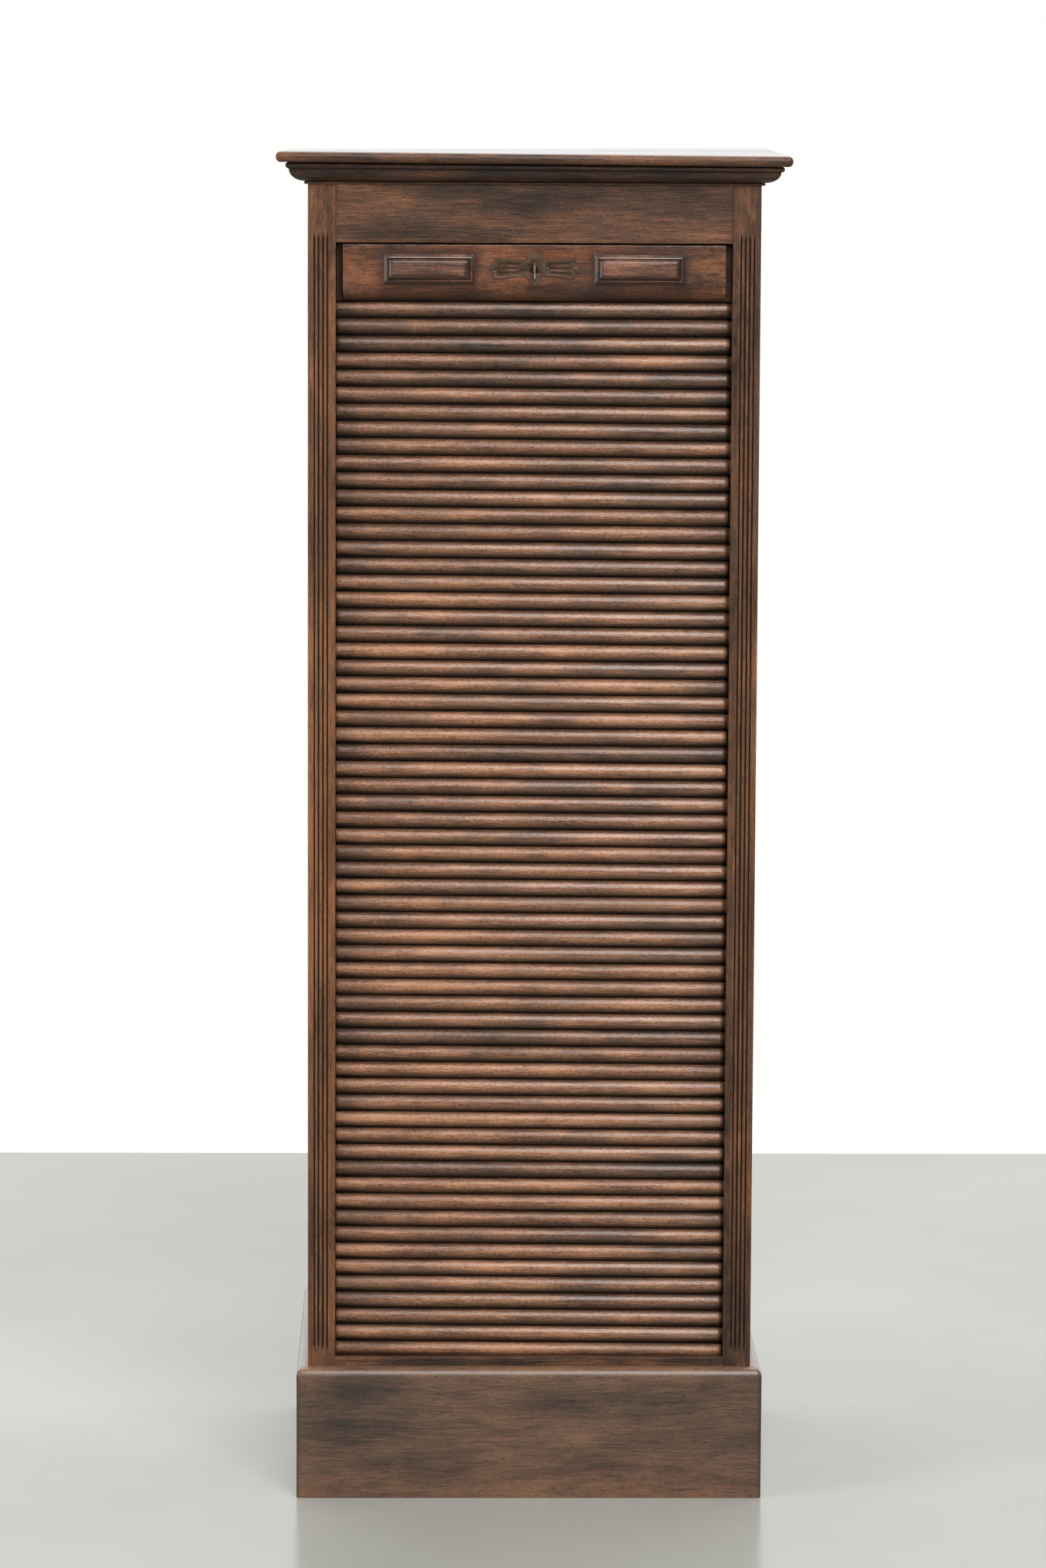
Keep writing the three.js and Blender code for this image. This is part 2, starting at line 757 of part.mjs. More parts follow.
function escutcheonPin(x) {
  const dome = arcPoints([0, escutcheonThickness], [pinHeadRadius, pinHeadRise], 0, quarterTurn, arcSteps);
  const profile = [
    [0, -pinShankLength],
    [pinShankRadius, -pinShankLength],
    [pinShankRadius, escutcheonThickness],
    [pinHeadRadius, escutcheonThickness],
    ...dome.slice(1, -1),
    [0, escutcheonThickness + pinHeadRise],
  ].map(([radius, rise]) => new THREE.Vector2(radius, rise));
  const geometry = new THREE.LatheGeometry(profile, smallRoundSteps);
  return geometryOf(solidOf(geometry.rotateX(2 * quarterTurn).translate(x, leadRailFrontY, escutcheonZ)));
}

// Key: an oval bow seen edge-on, a collar, a shank and the bit
function keyPiece() {
  const bowEnd = escutcheonFrontY - keyBowStandoff;
  const bowMiddle = bowEnd - keyBowLength / 2;
  const half = keyBowThickness / 2;
  const outer = arcPoints([bowMiddle, keyZ], [keyBowLength / 2, keyBowHeight / 2],
    0, 4 * quarterTurn, roundSteps);
  const hole = arcPoints([bowMiddle, keyZ], [keyBowLength / 2 - keyBowRim, keyBowHeight / 2 - keyBowRim],
    0, 4 * quarterTurn, roundSteps);
  const bow = cut(solidOf(prismAlongX(outer.slice(1), [-half, half])),
    [prismAlongX(hole.slice(1), [-half - overrun, half + overrun])]);
  const tip = lockBackY - lockWall - lockFitClearance;
  const bit = block([-keyBitThickness / 2, keyBitThickness / 2], [tip - keyBitWidth, tip],
    [keyZ, keyZ + keyBitLength]);
  return geometryOf(bow
    .add(solidOf(rodAlongY(keyShankRadius, 0, [bowEnd - keyBowRim / 2, tip], keyZ, smallRoundSteps)))
    .add(solidOf(rodAlongY(keyCollarRadius, 0, [bowEnd, bowEnd + keyCollarLength], keyZ, smallRoundSteps)))
    .add(solidOf(bit)));
}

// Lock case with an open slot on top for its two beaks
function lockCase() {
  const half = lockWidth / 2;
  const inner = [lockFrontY + lockWall, lockBackY - lockWall];
  const shell = solidOf(block([-half, half], [lockFrontY, lockBackY], [lockBottom, leadRailTop]));
  const slot = [lockMiddleY - beakSlotHalf, lockMiddleY + beakSlotHalf];
  const hollow = cut(shell, [
    block([-half + lockWall, half - lockWall], inner, [lockBottom + lockWall, leadRailTop - lockWall]),
    block([-lockSlotWidth / 2, lockSlotWidth / 2], slot,
      [leadRailTop - lockWall - overrun, leadRailTop + overrun]),
    keyhole([lockFrontY - overrun, lockFrontY + lockWall + hairline]),
  ]);
  return geometryOf(sides.reduce((whole, [, side]) => {
    const pin = rodAlongY(beakPinRadius, side * beakPivotReach, [inner[0] - hairline, inner[1] + hairline],
      beakPivotZ, smallRoundSteps);
    return whole.add(solidOf(pin));
  }, hollow));
}

function beak(side) {
  const y = [lockMiddleY - beakThickness / 2, lockMiddleY + beakThickness / 2];
  const centre = [side * beakPivotReach, beakPivotZ];
  const outer = beakRadius + beakWidth / 2;
  const inner = beakRadius - beakWidth / 2;
  const start = beakRestStart * degree;
  const end = beakRestEnd * degree;
  const mirror = ([x, z]) => [side * x, z];
  const middle = [beakPivotReach, beakPivotZ];
  const arc = (radius, from, to) => arcPoints(middle, [radius, radius], from, to, arcSteps);
  const crescent = [...arc(outer, start, end), ...arc(inner, end, start)].map(mirror);
  const spoke = block([centre[0] - beakSpokeWidth / 2, centre[0] + beakSpokeWidth / 2], y,
    [beakPivotZ - beakRadius, beakPivotZ]);
  const body = joined([
    prismAlongY(crescent, y),
    spoke,
    rodAlongY(beakHubRadius, centre[0], y, beakPivotZ, roundSteps),
  ]);
  return geometryOf(cut(body, [
    rodAlongY(beakPinRadius + beakBoreClearance, centre[0], [y[0] - overrun, y[1] + overrun], beakPivotZ,
      smallRoundSteps),
  ]));
}

// Shelves share the height between the floor and the inner top equally
function shelfBottom(index) {
  const clear = (subTopBottom - sillHeight - shelfCount * shelfThickness) / (shelfCount + 1);
  return sillHeight + (index + 1) * clear + index * shelfThickness;
}

function addShelf(index) {
  const bottom = shelfBottom(index);
  const board = block([-innerHalf, innerHalf], [shelfFrontY, innerBackY], [bottom, bottom + shelfThickness]);
  addPiece(`shelf_${index + 1}`, board, 'innerOak');
  sides.forEach(([label, side]) => {
    const cleat = block(span(side, innerHalf - cleatWidth, innerHalf),
      [shelfFrontY + cleatEndSetback, innerBackY - cleatEndSetback], [bottom - cleatHeight, bottom]);
    addPiece(`shelf_${index + 1}_cleat_${label}`, cleat, 'innerOak');
  });
}

// Case
addPiece('top_board', topBoard(), 'darkOak');
addPiece('cornice_front', frontMoulding(corniceProfile()), 'darkOak');
addPiece('plinth_front', frontMoulding(plinthProfile()), 'plinthOak');
sides.forEach(([label, side]) => {
  addPiece(`cornice_${label}`, sideMoulding(corniceProfile(), side), 'darkOak');
  addPiece(`plinth_${label}`, sideMoulding(plinthProfile(), side), 'plinthOak');
  addPiece(`side_board_${label}`, sideBoard(side), 'darkOak');
  addPiece(`stile_${label}`, stile(side), 'darkOak');
});
addPiece('frieze_rail', friezeRail(), 'darkOak');
addPiece('bottom_rail', block([-openingHalf, openingHalf], [frontY, frontY + bottomRailThickness],
  [sillHeight - bottomRailHeight, sillHeight]), 'darkOak');
addPiece('back_panel', block([-innerHalf, innerHalf], [backPanelY, backY], [0, topBoardBottom]), 'innerOak');
addPiece('bottom_board', block([-innerHalf, innerHalf], [shelfFrontY, innerBackY + innerBackThickness],
  [sillHeight - bottomBoardThickness, sillHeight]), 'innerOak');
addPiece('inner_top', block([-innerHalf, innerHalf], [friezeBackY, innerBackY + innerBackThickness],
  [subTopBottom, subTopBottom + subTopThickness]), 'innerOak');
addPiece('inner_back', block([-innerHalf, innerHalf], [innerBackY, innerBackY + innerBackThickness],
  [sillHeight, subTopBottom]), 'innerOak');
for (let index = 0; index < shelfCount; index += 1) {
  addShelf(index);
}

// Curtain and lead rail
for (let index = 0; index < sectionCount; index += 1) {
  const number = String(index + 1).padStart(2, '0');
  addPiece(`tambour_section_${number}`, tambourSection(index), 'slatOak');
}
addPiece('lead_rail', leadRail(), 'wornOak');
sides.forEach(([label, side]) => addPiece(`handle_pad_${label}`, handlePad(side), 'wornOak'));

// Lock
addPiece('escutcheon', escutcheon(), 'agedBrass');
pinPlaces().forEach((x, index) => addPiece(`escutcheon_pin_${index + 1}`, escutcheonPin(x), 'darkIron'));
addPiece('lock_case', lockCase(), 'darkIron');
addPiece('key', keyPiece(), 'steel');
sides.forEach(([label, side]) => addPiece(`beak_${label}`, beak(side), 'steel'));
addPiece('strike_plate', strikePlate(), 'agedBrass');
sides.forEach(([label, side]) => addPiece(`strike_screw_${label}`, strikeScrew(side), 'darkIron'));

export default cabinet;
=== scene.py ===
"""Tambour door cabinet in dark oak: a slatted curtain between fluted stiles, a moulded top and a plinth.

Metres. X runs across the front, the front looks along -Y, +Z is up, and the floor is at zero.
"""
import json
import math
import random

import bmesh
import bpy
from mathutils import Matrix, Vector, noise


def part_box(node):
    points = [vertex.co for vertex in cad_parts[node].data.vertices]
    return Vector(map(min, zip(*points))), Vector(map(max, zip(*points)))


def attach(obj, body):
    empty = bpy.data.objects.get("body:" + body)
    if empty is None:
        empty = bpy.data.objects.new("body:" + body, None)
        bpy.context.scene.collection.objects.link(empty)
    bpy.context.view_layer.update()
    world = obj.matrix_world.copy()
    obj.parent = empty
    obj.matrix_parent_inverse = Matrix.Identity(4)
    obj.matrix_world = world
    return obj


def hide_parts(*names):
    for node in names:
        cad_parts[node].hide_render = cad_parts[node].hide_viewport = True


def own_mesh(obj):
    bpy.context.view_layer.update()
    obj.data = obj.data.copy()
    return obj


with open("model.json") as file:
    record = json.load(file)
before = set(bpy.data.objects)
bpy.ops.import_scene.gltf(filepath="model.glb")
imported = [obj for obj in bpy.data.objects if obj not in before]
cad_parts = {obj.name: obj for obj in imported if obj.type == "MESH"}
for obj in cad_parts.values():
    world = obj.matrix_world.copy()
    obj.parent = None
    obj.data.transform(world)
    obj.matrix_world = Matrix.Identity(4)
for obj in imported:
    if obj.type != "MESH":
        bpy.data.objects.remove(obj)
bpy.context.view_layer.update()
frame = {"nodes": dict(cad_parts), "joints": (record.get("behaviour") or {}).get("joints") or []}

MM = 0.001
QUARTER = math.pi / 2
SIDES = (("left", -1), ("right", 1))

# Camera
CAMERA_PLACE = Vector((-0.10277, -5.54199, 1.38471))
CAMERA_YAW = 0.0175238
CAMERA_PITCH = -0.126855
CAMERA_ROLL = 0.00474599
CAMERA_LENS = 129.593
CAMERA_SENSOR = 36.0

# Floor, surroundings, and lamps: name, place, size, watts and the point they look at
FLOOR_BOX = ((-9.0, 9.0), (-9.0, 1.573), (-20 * MM, 0.0))
FLOOR_TONES = ((0.46, 0.47, 0.435), (0.535, 0.545, 0.50))
FLOOR_MOTTLE = ((1.6, 1.6, 1.6), 5.0, 0.55)
FLOOR_EDGE = (0.3, 0.7)
FLOOR_ROUGHNESS = (0.16, 0.12)
SOFT_STRENGTH = 0.11
BACKDROP_COLOUR = (1.0, 1.0, 0.99, 1.0)
BACKDROP_EDGE = (0.15, 0.45)
LAMP_TARGET = (0.0, -0.15, 0.7)
LAMPS = (
    ("front_softbox", (0.9, -4.4, 4.0), (2.8, 4.4), 250, LAMP_TARGET),
    ("ceiling", (0.0, 1.6, 4.4), (4.0, 3.0), 125, (0.0, 1.6, 0.0)),
    ("left_window", (-3.3, -1.7, 1.7), (1.7, 2.6), 66, LAMP_TARGET),
    ("right_window", (3.4, -2.0, 1.8), (0.5, 1.8), 18, LAMP_TARGET),
)

# Softening and fineness
HAND_SWAY = 0.12 * MM
FINE_SWAY = 0.08 * MM
SWAYS_PER_METRE = 14
STATION_PITCH = 14 * MM
GUARD = 3 * MM
WELD = 0.001 * MM
ARC_STEPS = 4
FINE_ARC_STEPS = 10
ROUND_STEPS = 48
CREASE = math.radians(34)
PAD_CREASE = math.radians(40)
ROUND_CREASE = math.radians(50)
OAK_BEVEL = 0.6 * MM
METAL_BEVEL = 0.2 * MM
BEVEL_ANGLE = math.radians(40)
BEVEL_SEGMENTS = 2

# Seeds of the grain and of the hand-planed unevenness, and rubbed patches to the metre
NOISE_SEED = 7
GRAIN_SHIFT = 9
SEEDS = {
    "top_board": 11, "cornice": (12, 13, 14), "plinth": (15, 16, 17), "frieze_rail": 21, "bottom_rail": 22,
    "stile": 31, "lead_rail": 51, "handle_pad": 60, "slat": 700, "slat_grain": 900,
}
SWAY_SEEDS = {
    "top_board": 1.0, "frieze_rail": 5.0, "bottom_rail": 6.0, "lead_rail": 8.0, "stile": 40.0,
    "handle_pad": 60.0,
}
RUB_SCALES = {"board": 35, "cornice": 22, "plinth": 18, "stile": 16, "lead_rail": 26, "handle_pad": 60}

# Top board, which is a little in wind
CREASE_RADIUS = 0.5 * MM
BOARD_RADIUS = 0.8 * MM
BOARD_RUB_REACH = 2.2 * MM
TOP_CORNER_RADIUS = 4 * MM
TOP_SHORT_LEFT = 1.4 * MM
TOP_SHORT_RIGHT = 3 * MM
TOP_EDGE_RADIUS = 4.6 * MM
TOP_TWIST = 0.006
TOP_LIFT = 0.9 * MM
TOP_POLISH_DEPTH = 0.4 * MM
# Painted shade on the top board's rounded front edge, darkest at its underside
TOP_UNDER_SHADE = 0.65

# Cornice moulding, in distances out from the case and heights over its lower edge
CORNICE_CORNER_RADIUS = 1 * MM
TOP_BEAD_RADIUS = 2.6 * MM
TOP_BEAD_SET_BACK = 2.7 * MM
LOW_BEAD_RADIUS = 1.3 * MM
LOW_BEAD_PROJECTION = 3.4 * MM
CORNICE_FILLET = 0.6 * MM
CORNICE_CREASE = 1.5 * MM
CORNICE_WEAR = 0.35
CORNICE_SOOT = 0.15
# Painted shade in the creases beside the beads and under the top board
CORNICE_CREASE_SHADE = 0.8
CORNICE_TONE = -0.16

# Plinth
PLINTH_CORNER_RADIUS = 4.5 * MM
PLINTH_EDGE_RADIUS = 9 * MM
PLINTH_WORN_FOOT = 45 * MM
PLINTH_STAIN_IN = 55 * MM
PLINTH_STAIN_DOWN = 45 * MM
PLINTH_STAIN_REACH = 65 * MM
PLINTH_STAIN_TONE = 0.2
PLINTH_UPPER_WEAR = 0.2
PLINTH_FOOT_WEAR = 0.6
PLINTH_POLISH = 1.7
# Painted shade on the upright corners and towards the right, and a painted highlight on the upper round
PLINTH_CORNER_SHADE = 0.6
PLINTH_TONE = 0.05
PLINTH_UPPER_HIGHLIGHT = 0.2
PLINTH_SIDE_SHADE = 0.03

# Frieze and bottom rail, and the mortise that the lock's beaks swing into
FRIEZE_WEAR = 0.4
FRIEZE_TONE = -0.04
# Painted shade: the frieze darkens towards the right
FRIEZE_SIDE_SHADE = 0.1
SEAM_REACH = 0.6 * MM
SEAM_SOOT = 0.9
BOTTOM_RAIL_WEAR = 0.3
BOTTOM_RAIL_TONE = -0.05
LOCK_CLEARANCE = 0.3 * MM
MORTISE_HALF_LENGTH = 16 * MM
MORTISE_HALF_WIDTH = 2.6 * MM
MORTISE_DEPTH = 7 * MM

# Stiles and their flutes
REED_COUNT = 3
REED_PITCH = 4.25 * MM
REEDS_HALF = REED_COUNT * REED_PITCH / 2
FLUTE_DEPTH = 2.2 * MM
FLUTE_LIP = 1.3 * MM
FLUTE_RUNOUT = 9 * MM
RUNOUT_PITCH = 1 * MM
FLAT_PITCH = 2 * MM
FLUTE_TOP_RISE = 13 * MM
FLUTE_BOTTOM_RISE = 3.5 * MM
FLUTE_SHIFT = 0.8 * MM
# Painted shade in the flutes, darkening with depth past the unshaded share
FLUTE_UNSHADED = 0.14
FLUTE_SHADE = 7
TOOL_MARKS = (300, 3.0, 30)
REED_CREST_SHARE = 0.4
# The reed crests are rubbed, and painted lighter as a painted highlight
REED_WEAR_AND_HIGHLIGHT = 0.45
STILE_EDGE_REACH = 1.5 * MM
STILE_EDGE_DEPTH = 2 * MM
STILE_EDGE_WEAR = 0.3
STILE_FACE_DEPTH = 1 * MM
STILE_FACE_WEAR = {-1: 0.5, 1: 0.25}
# Painted shade on the stiles' sides deep in the opening
STILE_FLANK_DEPTH = 4 * MM
STILE_FLANK_SHADE = 0.9
STILE_TONE = -0.1
STILE_GLOW_TONE = 0.24
# Painted shade: the right stile darker than the left, more so towards the foot, where the left is painted
# lighter
STILE_SIDE_SHADE = 0.045
STILE_LOW_TONE = 0.06
STILE_INNER_TONE = 0.28
STILE_OUTER_TONE = 0.035

# Slats
SLAT_HEIGHT = 16 * MM
SLAT_GAP = 0.3 * MM
SLAT_PITCH = SLAT_HEIGHT + SLAT_GAP
SLAT_SHOULDER = 3 * MM
SLAT_RISE = 5.4 * MM
SLAT_RISE_SPREAD = (-0.25 * MM, 0.2 * MM)
SLAT_LIFT_SPREAD = 0.08 * MM
SLAT_END_SPREAD = 0.3 * MM
SLAT_LEFT_CLEARANCE = 0.25 * MM
SLAT_RIGHT_CLEARANCE = 1.4 * MM
SLAT_NEARING_SHARE = 0.7
SLAT_LEFT_TIP = (4 * MM, 0.75)
SLAT_RIGHT_TIP = (4.5 * MM, 0.35)
SLAT_END_GAPS = (0.0, 0.25, 0.7, 1.3, 2.1, 3.2, 4.5, 6.0, 8.0)
SLAT_SWELL = 0.03
SLAT_NOISES = {"bow": (9, 3.7, 0.0), "swell": (14, 5.1, 2.0), "rub": (12, 2.3, 7.0), "shine": (11, 1.7, 3.0)}
TONGUE_HALF = 7 * MM
TONGUE_LOW = 0.3 * MM
TONGUE_HIGH = 3 * MM

# Tones, soiling, painted shade, a painted highlight and polish of the slats; above and below the middle of
# each they differ
SLAT_TONE = 0.05
SLAT_TONE_SPREAD = 0.05
SLAT_DARK_SHARE = 0.1
SLAT_DARK_TONE = 0.14
SLAT_TOP_TONE = 0.18
SLAT_TOP_SLATS = 18
SLAT_LOW_TONE = 0.05
# Painted highlight: a lighter band above each slat's middle, where its highlight falls
SLAT_HIGHLIGHT_TONE = 0.17
SLAT_HIGHLIGHT_RISE = 2.8 * MM
SLAT_WEAR = 0.35
# Painted shade towards each slat's upper and lower edges, where the slats meet: the share left unshaded,
# where it is full, and how fast it grows
SLAT_UNSHADED_ABOVE = 0.3
SLAT_UNSHADED_BELOW = 0.08
SLAT_SHADED_BELOW = 0.9
SHADE_POWER_ABOVE = 3.2
SHADE_POWER_BELOW = 1.0
# Soiling and painted shade near the slats' ends, more on their lower halves
SLAT_END_DIRT_AND_SHADE = 13 * MM
SLAT_END_SHEEN = 4 * MM
SLAT_END_SOOT_AND_SHADE = (0.3, 0.5)
SLAT_GLOSS_SPREAD = (0.45, 1.0)
SLAT_SHINE = (0.8, 0.45, 0.3)

# Curtain: how it hangs, runs and gathers
SLAT_DROP = 0.8 * MM
SLAT_DROP_SLATS = 3
SLAT_SAG = 1.6 * MM
SLAT_SAG_SLATS = 66
SLATS_PER_SECTION = 6
SECTION_COUNT = 12
CURTAIN_SKEW = 0.0075
SKEW_SLATS = 7
FRONT_SLATS = 62
BEND_RADIUS = 45 * MM
BEND_HEIGHT = 108 * MM
BEND_LENGTH = QUARTER * BEND_RADIUS
CANVAS_THICKNESS = 0.8 * MM
CANVAS_MARGIN = 6 * MM
CANVAS_PITCH = 5 * MM

# Lead rail
RAIL_ROUND_HEIGHT = 16 * MM
RAIL_ROUND_DEPTH = 11 * MM
RAIL_EDGE_RADIUS = 1.1 * MM
RAIL_PITCH = 3.5 * MM
RAIL_SHORT_OF_OPENING = 6.5 * MM
RAIL_SHOULDER_DEPTH = 8.5 * MM
RAIL_CLEARANCE = 0.7 * MM
RUNNER_NEAR = 4 * MM
RUNNER_FAR = 0.3 * MM
RAIL_TONE = -0.05
RAIL_RUB_REACH = 2 * MM
RAIL_EDGE_WEAR = 0.8
RAIL_BARE_WEAR = 0.75
RAIL_BARE_SCALE = 15
RAIL_BARE_CONTRAST = 1.1
RAIL_MIDDLE_SHARE = 0.7
# Painted shade on the lower round and deep behind the face; painted shadow round the pads, stronger below
# them, and round the plate's slotted wings
RAIL_UNDER_SHADE = 0.8
RAIL_UNDER_POWER = 1.7
RAIL_DEEP = 8 * MM
RAIL_DEEP_SHADE = 0.9
RAIL_PAINTED_SHADOW = 0.62
PAD_SHADOW_REACH = 6 * MM
PAD_SHADOW_BELOW = 0.4
PLATE_SHADOW = 0.25
PLATE_SHADOW_REACH = 1.5 * MM
KEYHOLE_RADIUS = 3 * MM
KEYHOLE_SLOT = 2.8 * MM
KEYHOLE_RISE = 9 * MM
KEYHOLE_OVERRUN = 2 * MM
POCKET_OVERRUN = 4 * MM

# Handle pads
PAD_EDGE = 0.9 * MM
PAD_RIM = 4 * MM
PAD_RIM_ROUND = 0.6 * MM
PAD_RIM_RISE = 3.3 * MM
PAD_GROOVE = 0.5 * MM
PAD_GROOVE_DEPTH = 0.9 * MM
PAD_OVOLO = 4.2 * MM
PAD_FLOOR = PAD_RIM_RISE - PAD_GROOVE_DEPTH
PAD_FIELD = PAD_RIM + PAD_GROOVE + PAD_OVOLO
PAD_FOOT = 1.4 * MM
PAD_ACROSS = 26
PAD_UPRIGHT = 12
PAD_RIM_WEAR = 0.15
PAD_CREST_WEAR = 0.3
# Painted shade in the groove, at the foot and over the shaded right and lower sides
PAD_GROOVE_SHADE = 0.95
PAD_FOOT_SHADE = 0.8
PAD_SHADED_SOOT = 0.7
PAD_BORDER_SOOT = 0.4
PAD_BORDER_TONE = -0.16
PAD_FIELD_TONE = -0.05
PAD_SHADED_POLISH = 0.15
PAD_FACING_POLISH = 0.9
PAD_POLISH = 0.35
PAD_GLINT_REACH = 9 * MM

# Escutcheon, from the middle of its pins; the two outlines are in millimetres
HEAD_RADIUS = 8 * MM
HEAD_RISE = 8.2 * MM
HEAD_END = 0.2
LOBE_REACH = 39 * MM
LOBE_RADIUS = 3.7 * MM
LOBE_OPENING = 1.4
ESCUTCHEON_EDGE = 0.35 * MM
ESCUTCHEON_TAIL = 17.3 * MM
ESCUTCHEON_SIDE = (
    (6.9, 9.2), (7.7, 7.4), (9.5, 6.9), (22.0, 8.4), (34.4, 9.9), (36.9, 9.6), (38.3, 8.2), (38.6, 6.0),
    (39.0, 4.5),
)
ESCUTCHEON_UNDERSIDE = (
    (39.0, -4.5), (38.6, -6.0), (38.3, -8.0), (36.9, -9.4), (34.4, -9.7), (22.0, -8.2), (9.5, -6.9),
    (7.2, -8.0), (6.1, -10.0), (5.1, -12.3), (3.7, -14.3), (2.3, -15.7), (1.1, -16.6),
)
SLOT_INNER = 14.4 * MM
SLOT_OUTER = 34.2 * MM
SLOT_INNER_PITCH = 3.6 * MM
SLOT_OUTER_PITCH = 5.0 * MM
SLOT_HALF_WIDTH = 1.05 * MM
SLOT_OVERRUN = 3 * MM

# Key
BOW_LENGTH = 15 * MM
BOW_HALF_THICKNESS = 1.15 * MM
BOW_RIM = 3.4 * MM
BOW_NECK = 3 * MM
SHANK_RADIUS = 1.7 * MM
BIT_HALF_THICKNESS = 0.9 * MM
BIT_WIDTH = 4.5 * MM
BIT_LENGTH = 7.6 * MM

# Oak figure: its coordinates, its features to the metre along and across the grain, detail and roughness
FIGURE = {
    "fibres": ("bent", 38.0, 950.0, 4.0, 0.68),
    "streaks": ("bent", 15.0, 310.0, 3.0, 0.6),
    "clouds": ("bent", 12.0, 30.0, 3.0, 0.55),
    "bands": ("bent", 5.0, 42.0, 2.0, 0.5),
    "rubbing": ("bent", 60.0, 170.0, 3.0, 0.65),
    "pores": ("bent", 150.0, 1700.0, 1.0, 0.5),
    "specks": ("raw", 300.0, 1000.0, 3.0, 0.65),
    "patches": ("raw", 7.0, 20.0, 3.0, 0.6),
    "flecks": ("leaning", 70.0, 330.0, 2.0, 0.6),
}
SWAY = ((4.0, 12.0, 12.0), 1.0, 0.5)
SWAY_REACH = 0.02
FLECK_SHEAR = 1.1
PANEL_STRETCH = (0.4, 1.0, 1.0)
TONE_WEIGHTS = {"fibres": 0.9, "specks": 0.8, "streaks": 0.4, "bands": 0.5, "clouds": 0.8}
GLOSS_WEIGHTS = {"fibres": 0.25, "clouds": 0.5}
RELIEF_WEIGHTS = {"fibres": 0.7, "specks": 1.4}
PATCH_EDGE = (0.48, 0.68)
FLECK_EDGE = (0.6, 0.7)
FLECK_FIELD = (0.4, 0.6)
RUB_EDGE = (0.36, 0.66)
PORE_EDGE = (0.6, 0.7)
PORE_SHARE = 0.6
# Soiling and painted shade, broken up by the figure's clouds, and how much they dull the finish
DARKENING_EDGE = (0.25, 0.6, 0.8, 1.0)
DARKENING_DULLING = 0.45
POLISH_GAIN = 0.14
OAK_RELIEF = 0.5 * MM

# Oak tones from the darkest on, at these places of the figure, and the colours laid over them
TONE_PLACES = (0.16, 0.36, 0.50, 0.64, 0.86)
SLAT_PLACES = (0.14, 0.34, 0.50, 0.66, 0.88)
DARK_TONES = (
    (0.014, 0.011, 0.010), (0.056, 0.029, 0.018), (0.112, 0.051, 0.028), (0.185, 0.080, 0.040),
    (0.360, 0.150, 0.066),
)
PLINTH_TONES = (
    (0.040, 0.031, 0.027), (0.081, 0.051, 0.037), (0.120, 0.070, 0.046), (0.172, 0.096, 0.061),
    (0.240, 0.125, 0.066),
)
RAIL_TONES = (
    (0.018, 0.012, 0.009), (0.076, 0.029, 0.015), (0.155, 0.049, 0.021), (0.250, 0.078, 0.031),
    (0.430, 0.150, 0.058),
)
PAD_TONES = (
    (0.016, 0.012, 0.011), (0.068, 0.033, 0.022), (0.135, 0.056, 0.033), (0.220, 0.092, 0.052),
    (0.400, 0.190, 0.110),
)
STILE_TONES = (
    (0.034, 0.022, 0.016), (0.074, 0.038, 0.022), (0.114, 0.052, 0.027), (0.160, 0.070, 0.034),
    (0.290, 0.125, 0.055),
)
SLAT_TONES = (
    (0.014, 0.010, 0.008), (0.074, 0.036, 0.021), (0.164, 0.072, 0.036), (0.290, 0.128, 0.064),
    (0.510, 0.245, 0.128),
)
INNER_TONES = (
    (0.066, 0.034, 0.018), (0.138, 0.074, 0.038), (0.205, 0.113, 0.059), (0.275, 0.157, 0.084),
    (0.390, 0.235, 0.130),
)
PATCH_COLOUR = (0.030, 0.026, 0.023)
WEAR_COLOUR = (0.330, 0.140, 0.062)
# The dark of open pores, soiling and painted shade
SOOT_AND_SHADE_COLOUR = (0.012, 0.0045, 0.001)
FLECK_COLOUR = (0.330, 0.210, 0.150)

# Metal: mottles and scratches to the metre, and how they show
METAL_MOTTLE = ((90.0, 90.0, 90.0), 4.0, 0.65)
METAL_SCRATCHES = ((900.0, 900.0, 2600.0), 2.0, 0.5)
METAL_EDGE = (0.35, 0.65)
METAL_GLOSS_SPREAD = 0.3
METAL_MOTTLE_RELIEF = 0.6
METAL_BUMP = 0.12
METAL_RELIEF = 0.2 * MM

# Canvas: threads and soil to the metre, and its colours
THREAD_SCALE = 400.0
THREAD_DISTORTION = 0.6
CANVAS_SOIL = ((14.0, 14.0, 14.0), 3.0, 0.5)
CANVAS_SOIL_EDGE = (0.4, 0.75, 0.0, 0.6)
CANVAS_SHADOW = (0.12, 0.085, 0.05)
CANVAS_THREAD = (0.33, 0.26, 0.17)
CANVAS_SOIL_COLOUR = (0.08, 0.06, 0.04)
CANVAS_ROUGHNESS = (0.1, 0.82)
CANVAS_BUMP = 0.6
CANVAS_RELIEF = 0.3 * MM

